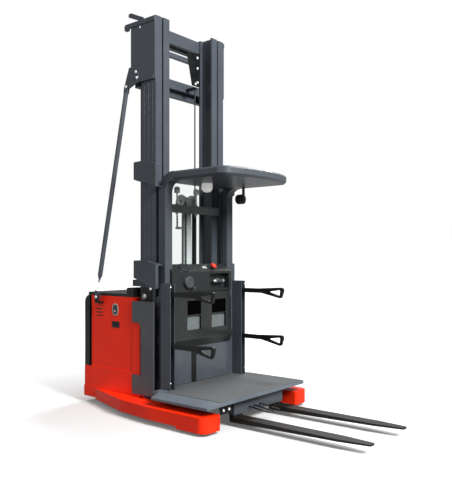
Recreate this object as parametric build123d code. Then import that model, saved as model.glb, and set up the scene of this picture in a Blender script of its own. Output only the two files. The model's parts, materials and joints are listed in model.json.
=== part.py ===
# An order picker truck: a chassis with two straddle legs, a two-stage mast, and an operator's cab that
# carries the forks and climbs the mast with the operator.
# Sizes are in millimetres. X runs forward to the fork tips, Y to the truck's left and Z up from the floor.
# Every X in this file counts from the front face of the mast. keep() moves each finished piece, so that
# the origin lies on the floor under the middle of the truck.
import os
from math import atan2, degrees

from build123d import *

# Reach of the truck from the mast's front face
FORK_REACH = 2013
REAR_REACH = 950

# Clearances: running fit, fit of a wheel or lever on its pin
RUN = 0.3
PIN_FIT = 0.4

# Mast rails: the outer pair are channels, the inner pair are I beams nested between them
RAIL_DEPTH = 170
RAIL_WIDTH = 78
RAIL_GAP = 19
INNER_EDGE = 298
FLANGE = 20
WEB = 15
MAST_FOOT = 134
MAST_TOP = 3580
INNER_FOOT = 180
INNER_TOP = MAST_TOP + 3
OUTER_EDGE = INNER_EDGE + RAIL_WIDTH + RAIL_GAP
MAST_SIDE = OUTER_EDGE + RAIL_WIDTH
INNER_WEB = INNER_EDGE + 32
ROLLER_X = -RAIL_DEPTH / 2
ROLLER_R = RAIL_DEPTH / 2 - FLANGE - 1
ROLLER_W = 28

# Lift cylinders behind the outer rails, and the free lift cylinder in the middle
SIDE_CYL_X = -205
SIDE_CYL_Y = 425
SIDE_CYL_R = 30
SIDE_CYL_TOP = MAST_TOP - 280
SIDE_ROD_R = 20
SIDE_ROD_LOW = 450
BORE_GAP = 1
LUG_Z = MAST_TOP - 120
LUG_T = 40
FREE_X = -65
FREE_R = 47
FREE_FOOT_HALF = 60
FREE_BORE_SPARE = 100
SIDE_BORE_SPARE = 30
FREE_ROD_R = 25
FREE_TOP = 1870
FREE_ROD_LOW = 900
FREE_FOOT = 25
SHEAVE_Y = 70
SHEAVE_R = 50
SHEAVE_W = 24
SHEAVE_Z = 1945
CHAIN_T = 12
CHAIN_W = 16
SHEAVE_GAP = 3
HEAD_SOCKET = 20
HEAD_LIFT = 8
HEAD_HALF = 32
HEAD_UP = 40
HEAD_R = 10
HEAD_PIN_R = 12
HEAD_PIN_END = 12
ANCHOR_SIDE = 14
ANCHOR_LIP = 4
CAB_ANCHOR_SIDE = 20
CAB_ANCHOR_H = 60
CAB_ANCHOR_Z = 760
REAR_ANCHOR_Z = 1700
ANCHOR_T = 20

# Hose that hangs from the inner mast's third bar down to the cab
HOSE_Y = 120
HOSE_R = 7
HOSE_TOP = INNER_TOP - 545
HOSE_LOW = 1000
HOSE_BLOCK = 15
HOSE_BLOCK_H = 25

# Plate that guides the hoses at the inner mast's top: rows of (y, distance below the mast's top, radius)
GUIDE_PLATE = [(117, 158, 12), (INNER_EDGE, 126, 0), (INNER_EDGE, 465, 0), (190, 465, 8)]
GUIDE_T = 12

# Crossbars of the inner mast, behind its rails: rows of (bottom, top)
INNER_BAR_BACK = -210
INNER_BARS = [
    (190, 260),
    (1160, 1240),
    (INNER_TOP - 555, INNER_TOP - 471),
    (INNER_TOP - 253, INNER_TOP - 211),
    (INNER_TOP - 126, INNER_TOP - 11),
]

# Heights of the guide rollers: at the inner mast's foot and at the outer mast's top
INNER_ROLLERS = [INNER_FOOT + 100, INNER_FOOT + 380]
OUTER_ROLLER = MAST_TOP - 110

# Crossbars of the outer mast, behind the cylinders: one low with side plates, one high, one at the top
OUTER_BAR_BACK = -290
OUTER_BAR_FRONT = -247
LOW_TIE = (1145, 1205)
HIGH_TIE = (MAST_TOP - 605, MAST_TOP - 525)
TOP_TIE = (MAST_TOP - 140, MAST_TOP - 50)
TIE_PLATE = 12
TIE_PLATE_FRONT = -100

# Plates on the sides of the outer mast's top, with a bar along the edge above and one below
TOP_PLATE_LOW = MAST_TOP - 570
TOP_PLATE_BACK = -315
EDGE_BAR = (-181, -14)
EDGE_BAR_H = 40
BAR_PROUD = 7
HOIST_X = -199
HOIST_Z = MAST_TOP - 68
HOIST_R = 15

# Outlines of the upper bar and of the strap that rises behind it: rows of (x, distance below the mast's
# top, corner radius)
TOP_BAR = [(-395, 72, 20), (-395, 10, 20), (0, 10, 0), (0, 50, 0), (-335, 50, 6), (-345, 72, 12)]
TOP_STRAP = [(-345, -52, 8), (-345, -84, 10), (-310, -84, 20), (-150, -10, 0), (-150, 11, 0), (-200, 11, 0)]

# Stay rod from the mast's top down to the chassis, on the truck's right side only
STAY_TOP_X = -361
STAY_TOP_Z = MAST_TOP - 590
STAY_LOW_X = -REAR_REACH + 255
STAY_LOW_Z = 1035
STAY_R = 22
STAY_STUB_R = 9
STAY_STUB = 165
STAY_TAPER = 45
STAY_PIN_R = 8
STAY_PLATE = 12
STAY_CHEEK = 8
STAY_EYE_R = 24
STAY_FORK_REACH = 60
STAY_THROAT = 34
STAY_SLOT = 100
STAY_SOCKET = 8
STAY_LUG_DROP = 60
STAY_LUG_FOOT = 34
STAY_LUG_EYE = 20
STAY_LUG_R = 18

# Outline of the gusset that holds the stay rod's upper pin: rows of (x, height, corner radius) from the pin
STAY_GUSSET = [(154, 22, 0), (154, 108, 8), (80, 170, 12), (33, 170, 14), (-27, 14, 18), (-12, -28, 18),
               (24, -24, 14)]

# Chassis: a lower skirt, a hood that is set in a little above it, and the mast's foot
CHASSIS_HALF = 530
CHASSIS_FRONT = -245
CHASSIS_LOW = 60
BAND_TOP = 160
SKIRT_TOP = 360
SKIRT_INSET = 5
HOOD_INSET = 12
HOOD_TOP = 1045
CORNER_R = 90
SHELL = 10
FOOT_HALF = MAST_SIDE + 77
GUSSET_TOP = 880
GUSSET_FRONT = -150
GUSSET_SIDE = MAST_SIDE + 53
TRAY_Z = 300
BULKHEAD_X = -REAR_REACH + 375
RING_Z = 345
RING_T = 12
RING_GAP = 20
BULKHEAD_DROP = 60

# Lid over the battery, hinged beside the ridge
LID_T = 28
LID_EDGE_R = 8
LEAF_DROP = 4
KNUCKLE_LEAF = 5
RIDGE_R = 14
TRIM_T = 8
TRIM_DROP = 6
TRIM_REACH = 20
RIDGE_BACK = -335
RIDGE_TOP = 1131
LID_GAP = 6
HINGE_R = 9
HINGE_Y = [-300, 300]
HINGE_W = 120
LEAF = 46

# Recesses in the chassis's right side: rows of (x from, x to, z from, z to, depth)
SIDE_RECESSES = [
    (-520, -462, 905, 985, 4),
    (-520, -462, 815, 865, 7),
    (-640, -585, 962, 970, 5),
    (-640, -585, 942, 950, 5),
    (-640, -585, 922, 930, 5),
]

# Battery and drive motor, each one plain block
BATTERY_BACK = BULKHEAD_X + 10
BATTERY_FRONT = CHASSIS_FRONT - SHELL - 10
BATTERY_HALF = CHASSIS_HALF - 100
BATTERY_H = 650
MOTOR_R = 110
MOTOR_H = 280

# Steered drive wheel
DRIVE_X = -REAR_REACH + 198
DRIVE_R = 150
DRIVE_W = 100
DRIVE_RIM_R = 112
DRIVE_AXLE_R = 20
YOKE_IN = 56
YOKE_T = 18
YOKE_HALF = 55
YOKE_RING_R = 115
YOKE_NECK_R = 60
YOKE_RING_T = 24
YOKE_CHEEK_UP = 20
YOKE_CHEEK_R = 40
TYRE_R = 6
HUB_IN = 4
WELL_R = 172

# Straddle legs: corners of one leg from above, rows of (x, distance from the middle, corner radius)
LEG_LOW = 45
LEG_TOP = 150
LEG_REAR = -REAR_REACH + 180
LEG_NOSE = 825
LEG_W = 205
LEG_HALF = FOOT_HALF + LEG_W
LEG_OUTER_R = 75
LEG_INNER_R = 24
LEG_OUTLINE = [
    (LEG_REAR, CHASSIS_HALF, 0),
    (-206, LEG_HALF - 50, 400),
    (180, LEG_HALF - 5, 400),
    (LEG_NOSE, LEG_HALF, LEG_OUTER_R),
    (LEG_NOSE, FOOT_HALF, LEG_INNER_R),
    (CHASSIS_FRONT, FOOT_HALF, 0),
    (CHASSIS_FRONT, CHASSIS_HALF, 0),
]
RUNNER_IN = CHASSIS_HALF - 50
NOSE_LOW = 26
NOSE_BACK = LEG_NOSE - 310

# Load wheels: two on each side, in a pocket under the leg's nose
LOAD_R = 60
LOAD_W = 84
LOAD_Y = FOOT_HALF + 100
LOAD_X = [LEG_NOSE - 225, LEG_NOSE - 95]
LOAD_PIN_R = 12
LOAD_BEVEL = 4
POCKET_GAP = 6

# Covers beside the mast's foot
COVER_BACK = -240
COVER_FRONT = 40
COVER_LOW = 175
COVER_TOP = 1014
COVER_IN = GUSSET_SIDE + 2
COVER_T = 12
NOTCH_LOW = 347
NOTCH_TOP = 821
NOTCH_DEPTH = 115
NOTCH_LOW_R = 15
NOTCH_TOP_R = 48
COVER_RIBS = [480, 940]
RIB = (-110, -20)

# Cab posts, which bend forward into the guard. The guard's front edge is a bow between round corners.
POST_BACK = 40
POST_FRONT = 120
POST_IN = 385
POST_OUT = 475
POST_LOW = 200
BEND_R = 180
GUARD_TOP = 2165
GUARD_LOW = GUARD_TOP - (POST_FRONT - POST_BACK)
GUARD_BACK = POST_BACK + 20
GUARD_FRONT = 880
BOW_R = 1176
GUARD_CORNER_R = 110
GUARD_BEVEL = 16
GUARD_LOW_BEVEL = 20

# Lamps under the guard
DOME_X = 266
DOME_Y = -80
DOME_R = 50
DOME_H = 80
DOME_FLAT = 8
WORK_LAMP_X = 245
WORK_LAMP_Y = 440
WORK_LAMP_Z = 1980
WORK_LAMP_R = 48
WORK_LAMP_L = 70
LAMP_BACK_R = 16
LAMP_STRAP_W = 32
LAMP_STRAP_T = 10
LAMP_STRAP_DROP = 20

# Lift carriage: roller plates inside the inner rails, and beams behind the cab: rows of (bottom, top)
PLATE_IN = 258
PLATE_OUT = 285
PLATE_RIM = 60
PLATE_BACK = -150
PLATE_LOW = 250
PLATE_TOP = 1150
BEAM_BACK = 12
CARRIAGE_BEAMS = [(200, 330), (640, 720), (870, 1060), (1200, 1330)]
CAB_ROLLERS = [350, 1050]

# Cab front: console, panel below it and kick panel
INSIDE_HALF = 415
PANEL_X = 150
PANEL_T = 12
SHELF_Z = 1348
SHELF_FRONT = 78
SLOPE_DROP = 70
CONSOLE_LOW = 1095
CONSOLE_SET_IN = 20
BAND_X = 122
PANEL_TOP = 1037
LIP_TOP = 700
LIP_LOW = 658
LIP_REACH = 12
KICK_X = 136
KICK_TOP = 590
WINDOWS = [(-218, -30), (123, 334)]
WINDOW_ROWS = [(742, 873), (883, 1012)]
BAND_LAP = 16
GLASS_T = 6
GLASS_LAP = 6
RECESS = (99, 380, 1112, 1256)
RECESS_DEPTH = 60
KNOB_Y = -214
KNOB_H = 1182
STEER_KNOB_R = 58
KNOB_T = 30
KNOB_EDGE_R = 10
GRIP_Y = 34
GRIP_DOWN = 49
GRIP_REACH = 55
CONTROL_R = 14
HANDLE_R = 16
HANDLE_HALF = 62
HANDLE_SET_IN = 5
STOP_X = 112
STOP_Y = 171
STOP_NECK_R = 20
STOP_NECK = 14
STOP_CAP_R = 28
STOP_TOP = 30

# Ears of the cab, which reach back outside the mast: rows of (bottom, top, rise of the lower rear corner)
EARS = [(1129, 1386, 96), (2030, 2274, 81)]
EAR_BACK = -200
EAR_FRONT = 82
EAR_CROWN = -60
EAR_IN = 499
EAR_OUT = 556
EAR_SKIN = 9
EAR_RIM = 8
EAR_DROP = 40
EAR_FLANGE = 35
EAR_MOUTH = 12
EAR_BEAM_LAP = 10

# Gate arms, pivoted in two posts beside the operator
ARM_POST_BACK = POST_FRONT
ARM_POST_FRONT = 236
ARM_POST_IN = 470
ARM_POST_OUT = 530
ARM_POST_WALL = 8
ARM_POST_TOP = 1180
ARM_X = 195
ARM_Y = 500
ARM_T = 24
ARM_END = 730
ARM_H = 42
ARM_PIN_R = 8
ARM_HUB_R = 23
ARM_Z = {"upper": 1088, "lower": 638}

# Outline of an arm and of the hole in its loop: rows of (distance back from its end, height over its
# middle, corner radius)
ARM_OUTLINE = [
    (ARM_END - ARM_X, -ARM_H / 2, 0),
    (ARM_END - ARM_X, ARM_H / 2, 0),
    (315, ARM_H / 2, 150),
    (0, 39, 28),
    (36, -68, 22),
    (265, -ARM_H / 2, 150),
]
ARM_LOOP = [(189, -7.5, 4), (45, 13.5, 8), (51, -44, 8)]

# Floor, its side flanges and the frame below it
FLOOR_TOP = 256
FLOOR_T = 30
FLOOR_BACK = POST_FRONT
FLOOR_FRONT = 868
FLOOR_HALF = 606
FLOOR_FLANGE_HALF = 705
FLANGE_DROP = 34
FLANGE_BACK = 180
FLANGE_CUT = 60
FLANGE_T = 20
FRAME_LOW = 200
FASCIA_HALF = 355
FASCIA_LOW = 100
FASCIA_T = 12
BEAM_UP = 15
FORK_BEAM_BACK = 640

# Forks
FORK_Y = 282
FORK_W = 120
FORK_TOP = 80
FORK_T = 45
FORK_TIP_T = 12
FORK_SHANK_X = 740
FORK_SHANK_T = 48
FORK_TIP_W = 70
FORK_TAPER = 260
FORK_TIP_DROP = 4
FORK_HEEL_R = 20
FORK_TIP_R = 22

ORIGIN_X = (FORK_REACH - REAR_REACH) / 2
STAY_TOP_Y = MAST_SIDE + TIE_PLATE + STAY_PLATE / 2
STAY_LOW_Y = CHASSIS_HALF + 40


def block(x0, x1, y0, y1, z0, z1):
    # A box between two values on each axis.
    return Pos((x0 + x1) / 2, (y0 + y1) / 2, (z0 + z1) / 2) * Box(x1 - x0, y1 - y0, z1 - z0)


def rod_x(y, z, radius, x0, x1):
    return Pos((x0 + x1) / 2, y, z) * Rot(0, 90, 0) * Cylinder(radius, x1 - x0)


def rod_y(x, z, radius, y0, y1):
    return Pos(x, (y0 + y1) / 2, z) * Rot(90, 0, 0) * Cylinder(radius, y1 - y0)


def rod_z(x, y, radius, z0, z1):
    return Pos(x, y, (z0 + z1) / 2) * Cylinder(radius, z1 - z0)


def outline(corners):
    # A face from rows of (first value, second value, corner radius).
    face = make_face(Polyline(*[(a, b) for a, b, _ in corners], close=True))
    for a, b, radius in corners:
        if radius:
            face = fillet(face.vertices().sort_by_distance((a, b))[0], radius)
    return face


def slab_z(corners, z0, z1):
    # An outline of x and y, as a slab between two heights.
    return extrude(Pos(0, 0, z0) * outline(corners), z1 - z0, dir=(0, 0, 1))


def slab_y(corners, y0, y1):
    # An outline of x and z, as a slab between two distances from the middle.
    return extrude(Plane.XZ.offset(-y0) * outline(corners), y1 - y0, dir=(0, 1, 0))


def slab_x(corners, x0, x1):
    # An outline of y and z, as a slab between two values of x.
    return extrude(Plane.YZ.offset(x0) * outline(corners), x1 - x0, dir=(1, 0, 0))


def left(shape):
    # The same piece on the truck's other side.
    return mirror(shape, about=Plane.XZ)


def both(shape):
    return [shape, left(shape)]


def keep(name, *shapes):
    # Writes one named piece, moved so that the origin lies under the truck's middle.
    solids = [solid for shape in shapes for solid in shape.solids()]
    export_step(Compound(solids).moved(Location((-ORIGIN_X, 0, 0))), f"parts/{name}.step")


def hull_outline(inset, corner_r):
    # The chassis from above, set in on its rear and its sides.
    half = CHASSIS_HALF - inset
    back = -REAR_REACH + inset
    return [(back, -half, corner_r), (CHASSIS_FRONT, -half, 0),
            (CHASSIS_FRONT, half, 0), (back, half, corner_r)]


def chassis():
    band = slab_z(hull_outline(0, CORNER_R), CHASSIS_LOW, BAND_TOP)
    skirt = slab_z(hull_outline(SKIRT_INSET, CORNER_R - SKIRT_INSET), BAND_TOP, SKIRT_TOP)
    hood = slab_z(hull_outline(HOOD_INSET, CORNER_R - HOOD_INSET), SKIRT_TOP, HOOD_TOP)
    deep = HOOD_INSET + SHELL
    half = CHASSIS_HALF - deep
    room_corners = [(-REAR_REACH + deep, -half, CORNER_R - deep), (CHASSIS_FRONT - SHELL, -half, 0),
                    (CHASSIS_FRONT - SHELL, half, 0), (-REAR_REACH + deep, half, CORNER_R - deep)]
    body = band + skirt + hood - slab_z(room_corners, CHASSIS_LOW + SHELL, HOOD_TOP)
    body -= rod_z(DRIVE_X, 0, WELL_R, CHASSIS_LOW, CHASSIS_LOW + SHELL)
    inner = half + 1
    body += block(BULKHEAD_X, CHASSIS_FRONT - SHELL + 1, -inner, inner, TRAY_Z - SHELL, TRAY_Z)
    body += block(BULKHEAD_X - SHELL, BULKHEAD_X, -inner, inner, CHASSIS_LOW + SHELL,
                  HOOD_TOP - BULKHEAD_DROP)
    ring = block(-REAR_REACH + deep + RING_GAP, BULKHEAD_X, -inner, inner, RING_Z, RING_Z + RING_T)
    body += ring - rod_z(DRIVE_X, 0, YOKE_NECK_R + PIN_FIT, RING_Z, RING_Z + RING_T)
    body += block(CHASSIS_FRONT, 0, -FOOT_HALF, FOOT_HALF, CHASSIS_LOW, MAST_FOOT)
    for gusset in both(block(CHASSIS_FRONT, GUSSET_FRONT, -GUSSET_SIDE, -MAST_SIDE, MAST_FOOT, GUSSET_TOP)):
        body += gusset
    face = -CHASSIS_HALF + HOOD_INSET
    for x0, x1, z0, z1, depth in SIDE_RECESSES:
        body -= block(x0, x1, face - 1, face + depth, z0, z1)
    return body


def leg():
    # One straddle leg on the right side, with its wheel pocket and the pins through its walls.
    body = left(slab_z(LEG_OUTLINE, LEG_LOW, LEG_TOP))
    nose = [(NOSE_BACK, FOOT_HALF, 0), (NOSE_BACK, LEG_HALF - 1, 0), (LEG_NOSE, LEG_HALF, LEG_OUTER_R),
            (LEG_NOSE, FOOT_HALF, LEG_INNER_R)]
    body += left(slab_z(nose, NOSE_LOW, LEG_LOW))
    body += block(LEG_REAR, CHASSIS_FRONT, -CHASSIS_HALF, -RUNNER_IN, LEG_LOW, CHASSIS_LOW)
    gap = LOAD_R + POCKET_GAP
    inner, outer = LOAD_Y - LOAD_W / 2 - POCKET_GAP, LOAD_Y + LOAD_W / 2 + POCKET_GAP
    body -= block(LOAD_X[0] - gap, LOAD_X[1] + gap, -outer, -inner, NOSE_LOW, LOAD_R * 2 + POCKET_GAP)
    for x in LOAD_X:
        body += rod_y(x, LOAD_R, LOAD_PIN_R, -outer - 1, -inner + 1)
    return body


def load_wheel(x, side):
    wheel = rod_y(x, LOAD_R, LOAD_R, -LOAD_W / 2, LOAD_W / 2)
    wheel = chamfer(wheel.edges().filter_by(GeomType.CIRCLE), LOAD_BEVEL)
    bore = rod_y(x, LOAD_R, LOAD_PIN_R + PIN_FIT, -LOAD_W / 2, LOAD_W / 2)
    return Pos(0, side * LOAD_Y, 0) * (wheel - bore)


def outer_rail():
    side = block(-RAIL_DEPTH, 0, -MAST_SIDE, -OUTER_EDGE, MAST_FOOT, MAST_TOP)
    return side - block(-RAIL_DEPTH + FLANGE, -FLANGE, -MAST_SIDE + WEB, -OUTER_EDGE, MAST_FOOT, MAST_TOP)


def inner_rail():
    flange_out = INNER_EDGE + RAIL_WIDTH
    beam = block(-RAIL_DEPTH, 0, -flange_out, -INNER_EDGE, INNER_FOOT, INNER_TOP)
    beam -= block(-RAIL_DEPTH + FLANGE, -FLANGE, -INNER_WEB, -INNER_EDGE, INNER_FOOT, INNER_TOP)
    return beam - block(-RAIL_DEPTH + FLANGE, -FLANGE, -flange_out, -INNER_WEB - WEB, INNER_FOOT, INNER_TOP)


def roller(z, y_in, y_out, stub_from, stub_to):
    # A guide roller on its stub, on the right side.
    wheel = rod_y(ROLLER_X, z, ROLLER_R, -y_out, -y_in)
    return wheel + rod_y(ROLLER_X, z, ROLLER_R / 2.5, -max(stub_from, stub_to), -min(stub_from, stub_to))


def below_top(rows):
    # Rows of an outline whose heights count down from the mast's top.
    return [(a, MAST_TOP - down, radius) for a, down, radius in rows]


def outer_mast_ties():
    # The crossbars, and the plates beside the rails. The plates at the top carry the hoist eyes.
    side = MAST_SIDE + TIE_PLATE
    back, front = OUTER_BAR_BACK, OUTER_BAR_FRONT
    ties = [block(back, front, -MAST_SIDE, MAST_SIDE, *row) for row in (LOW_TIE, TOP_TIE)]
    edge = SIDE_CYL_Y + SIDE_CYL_R
    ties.append(block(back, SIDE_CYL_X - SIDE_CYL_R, -edge, edge, *HIGH_TIE))
    ties += both(block(back, TIE_PLATE_FRONT, -side, -MAST_SIDE, *LOW_TIE))
    plate = block(TOP_PLATE_BACK, 0, -side, -MAST_SIDE, TOP_PLATE_LOW, MAST_TOP - 10)
    plate += slab_y(below_top(TOP_BAR), -side - BAR_PROUD, -MAST_SIDE)
    plate += slab_y(below_top(TOP_STRAP), -side, -MAST_SIDE)
    plate += block(*EDGE_BAR, -side - BAR_PROUD, -side, TOP_PLATE_LOW, TOP_PLATE_LOW + EDGE_BAR_H)
    plate -= rod_y(HOIST_X, HOIST_Z, HOIST_R, -side, -MAST_SIDE)
    return ties + [plate + stay_bracket(), left(plate)]


def stay_bracket():
    # The gusset on the right top plate that holds the stay rod's upper pin.
    corners = [(STAY_TOP_X + along, STAY_TOP_Z + up, radius) for along, up, radius in STAY_GUSSET]
    y_out, y_in = STAY_TOP_Y + STAY_PLATE / 2, STAY_TOP_Y - STAY_PLATE / 2
    bore = rod_y(STAY_TOP_X, STAY_TOP_Z, STAY_PIN_R + PIN_FIT, -y_out, -y_in)
    return slab_y(corners, -y_out, -y_in) - bore


def stay_lug():
    # The foot on the hood's side that holds the stay rod's lower pin.
    y_out, y_in = STAY_LOW_Y + STAY_PLATE / 2, STAY_LOW_Y - STAY_PLATE / 2
    low = STAY_LOW_Z - STAY_LUG_DROP
    foot, eye = STAY_LUG_FOOT, STAY_LUG_EYE
    corners = [(STAY_LOW_X - foot, low, 0), (STAY_LOW_X + foot, low, 0),
               (STAY_LOW_X + eye, STAY_LOW_Z + eye, STAY_LUG_R),
               (STAY_LOW_X - eye, STAY_LOW_Z + eye, STAY_LUG_R)]
    lug = slab_y(corners, -y_out, -y_in)
    hood_side = CHASSIS_HALF - HOOD_INSET
    lug += block(STAY_LOW_X - foot, STAY_LOW_X + foot, -y_out, -hood_side, low, low + STAY_PLATE)
    return lug - rod_y(STAY_LOW_X, STAY_LOW_Z, STAY_PIN_R + PIN_FIT, -y_out, -y_in)


def stay_fork(lean, end):
    # One fork of the stay rod about its pin: two cheeks, a solid throat and the pin. end is 1 for the fork
    # whose throat points up the rod and -1 for the one whose throat points down.
    reach = STAY_PLATE / 2 + RUN
    wide = 2 * (reach + STAY_CHEEK)
    body = Pos(0, 0, end * STAY_FORK_REACH / 2) * Box(2 * STAY_EYE_R, wide, STAY_FORK_REACH)
    body += rod_y(0, 0, STAY_EYE_R, -wide / 2, wide / 2)
    body -= Pos(0, 0, end * (STAY_THROAT - STAY_SLOT / 2)) * Box(3 * STAY_EYE_R, 2 * reach, STAY_SLOT)
    body += rod_y(0, 0, STAY_PIN_R, -wide / 2, wide / 2)
    return Rot(0, lean, 0) * body


def stay_rod():
    # The forks stand square to the plates. The rod between their throats ends in a thinner stub below.
    top = Vector(STAY_TOP_X, -STAY_TOP_Y, STAY_TOP_Z)
    low = Vector(STAY_LOW_X, -STAY_LOW_Y, STAY_LOW_Z)
    along = top - low
    lean = degrees(atan2(along.X, along.Z))
    start = STAY_FORK_REACH - STAY_SOCKET
    rod = rod_z(0, 0, STAY_R, STAY_STUB + STAY_TAPER, along.length - start)
    rod += Pos(0, 0, STAY_STUB + STAY_TAPER / 2) * Cone(STAY_STUB_R, STAY_R, STAY_TAPER)
    rod += rod_z(0, 0, STAY_STUB_R, start, STAY_STUB)
    rod = Plane(origin=low, z_dir=along.normalized()) * rod
    rod += Pos(*low) * stay_fork(lean, 1)
    return rod + Pos(*top) * stay_fork(lean, -1)


def free_lift_cylinder():
    barrel = rod_z(FREE_X, 0, FREE_R, INNER_BARS[0][0] + FREE_FOOT, FREE_TOP)
    barrel -= rod_z(FREE_X, 0, FREE_ROD_R + BORE_GAP, FREE_ROD_LOW - FREE_BORE_SPARE, FREE_TOP)
    foot = block(-RAIL_DEPTH, FREE_X + FREE_R, -FREE_FOOT_HALF, FREE_FOOT_HALF, INNER_BARS[0][0],
                 INNER_BARS[0][0] + FREE_FOOT)
    lug_x = FREE_X - SHEAVE_R - CHAIN_T - ANCHOR_LIP
    lug_y = SHEAVE_Y + ANCHOR_SIDE
    lugs = block(lug_x, FREE_X, -lug_y, lug_y, REAR_ANCHOR_Z - ANCHOR_T, REAR_ANCHOR_Z)
    lugs -= rod_z(FREE_X, 0, FREE_R - 1, REAR_ANCHOR_Z - ANCHOR_T, REAR_ANCHOR_Z)
    return barrel + foot + lugs


def lift_head():
    rod = rod_z(FREE_X, 0, FREE_ROD_R, FREE_ROD_LOW, FREE_TOP + HEAD_SOCKET)
    inner = SHEAVE_Y - SHEAVE_W / 2 - SHEAVE_GAP
    head = block(FREE_X - HEAD_HALF, FREE_X + HEAD_HALF, -inner, inner,
                 FREE_TOP + HEAD_LIFT, SHEAVE_Z + HEAD_UP)
    head = fillet(head.edges().filter_by(Axis.Y), HEAD_R)
    outer = SHEAVE_Y + SHEAVE_W / 2 + HEAD_PIN_END
    return rod + head + rod_y(FREE_X, SHEAVE_Z, HEAD_PIN_R, -outer, outer)


def sheave(side):
    wheel = rod_y(FREE_X, SHEAVE_Z, SHEAVE_R, -SHEAVE_W / 2, SHEAVE_W / 2)
    wrap = rod_y(FREE_X, SHEAVE_Z, SHEAVE_R + CHAIN_T, -CHAIN_W / 2, CHAIN_W / 2)
    low = SHEAVE_R + CHAIN_T
    wrap -= block(FREE_X - low, FREE_X + low, -CHAIN_W, CHAIN_W, SHEAVE_Z - low, SHEAVE_Z)
    bore = rod_y(FREE_X, SHEAVE_Z, HEAD_PIN_R + PIN_FIT, -SHEAVE_W, SHEAVE_W)
    return Pos(0, side * SHEAVE_Y, 0) * (wheel + wrap - bore)


def chain(x_side, z0, z1):
    x = FREE_X + x_side * (SHEAVE_R + CHAIN_T / 2)
    outer, inner = SHEAVE_Y + CHAIN_W / 2, SHEAVE_Y - CHAIN_W / 2
    return both(block(x - CHAIN_T / 2, x + CHAIN_T / 2, -outer, -inner, z0, z1))


def carriage():
    body = None
    for plate in both(block(PLATE_BACK, BEAM_BACK, -PLATE_OUT, -PLATE_IN, PLATE_LOW, PLATE_TOP)):
        body = plate if body is None else body + plate
    for z0, z1 in CARRIAGE_BEAMS:
        body += block(BEAM_BACK, POST_BACK, -POST_OUT, POST_OUT, z0, z1)
    for upright in both(block(BEAM_BACK, POST_BACK, -PLATE_OUT - PLATE_RIM, -PLATE_IN, CARRIAGE_BEAMS[0][0],
                              CARRIAGE_BEAMS[-1][1])):
        body += upright
    for z in CAB_ROLLERS:
        for one in both(roller(z, INNER_EDGE + 2, INNER_WEB - 2, PLATE_IN, INNER_WEB - 2)):
            body += one
    anchor_x = FREE_X + SHEAVE_R
    half = SHEAVE_Y + CAB_ANCHOR_SIDE
    body += block(anchor_x - 2, BEAM_BACK, -half, half, CAB_ANCHOR_Z - ANCHOR_T - CAB_ANCHOR_H, CAB_ANCHOR_Z)
    body += block(BEAM_BACK, POST_BACK, -half, half, CARRIAGE_BEAMS[1][0], CARRIAGE_BEAMS[2][1])
    body += block(FREE_X - HOSE_BLOCK, BEAM_BACK, HOSE_Y - HOSE_BLOCK, HOSE_Y + HOSE_BLOCK,
                  HOSE_LOW - HOSE_BLOCK_H, HOSE_LOW)
    return body


def cab_post():
    # The upright bends forward: its outer and inner lines are arcs about one centre.
    depth = POST_FRONT - POST_BACK
    bend_x, bend_z = POST_BACK + BEND_R, GUARD_TOP - BEND_R
    lines = [
        Line((POST_BACK, POST_LOW), (POST_BACK, bend_z)),
        CenterArc((bend_x, bend_z), BEND_R, 180, -90),
        Line((bend_x, GUARD_TOP), (bend_x, GUARD_TOP - depth)),
        CenterArc((bend_x, bend_z), BEND_R - depth, 90, 90),
        Line((POST_FRONT, bend_z), (POST_FRONT, POST_LOW)),
        Line((POST_FRONT, POST_LOW), (POST_BACK, POST_LOW)),
    ]
    face = make_face(Curve() + lines)
    return extrude(Plane.XZ.offset(POST_OUT) * face, POST_OUT - POST_IN, dir=(0, 1, 0))


def overhead_guard():
    # The roof continues the posts' bends, and a cover between the posts closes it at the back.
    bend_x = POST_BACK + BEND_R
    corners = [(bend_x, -POST_OUT, 0), (GUARD_FRONT, -POST_OUT, 0), (GUARD_FRONT, POST_OUT, 0),
               (bend_x, POST_OUT, 0), (bend_x, POST_IN, 0), (GUARD_BACK, POST_IN, 0),
               (GUARD_BACK, -POST_IN, 0), (bend_x, -POST_IN, 0)]
    roof = slab_z(corners, GUARD_LOW, GUARD_TOP) & rod_z(GUARD_FRONT - BOW_R, 0, BOW_R, GUARD_LOW, GUARD_TOP)
    roof = fillet(roof.edges().filter_by(Axis.Z).group_by(Axis.X)[-1], GUARD_CORNER_R)
    roof = chamfer(roof.edges().filter_by(GeomType.CIRCLE).group_by(Axis.Z)[-1], GUARD_BEVEL)
    return chamfer(roof.edges().filter_by(GeomType.CIRCLE).group_by(Axis.Z)[0], GUARD_LOW_BEVEL)


def guard_dome():
    # A round lamp that hangs below the roof, wide at the top and domed below.
    dome = rod_z(DOME_X, DOME_Y, DOME_R, GUARD_LOW - DOME_H, GUARD_LOW)
    return fillet(dome.edges().filter_by(GeomType.CIRCLE).group_by(Axis.Z)[0], DOME_R - DOME_FLAT)


def work_lamp():
    # A round lamp on a bracket under the roof's left side.
    back = WORK_LAMP_X - WORK_LAMP_L / 2
    front = WORK_LAMP_X + WORK_LAMP_L / 2
    lamp = rod_x(WORK_LAMP_Y, WORK_LAMP_Z, WORK_LAMP_R, back, front)
    lamp = fillet(lamp.edges().filter_by(GeomType.CIRCLE).group_by(Axis.X)[0], LAMP_BACK_R)
    half = LAMP_STRAP_W / 2
    return lamp + block(front, front + LAMP_STRAP_T, WORK_LAMP_Y - half, WORK_LAMP_Y + half,
                        WORK_LAMP_Z - LAMP_STRAP_DROP, GUARD_LOW)


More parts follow.
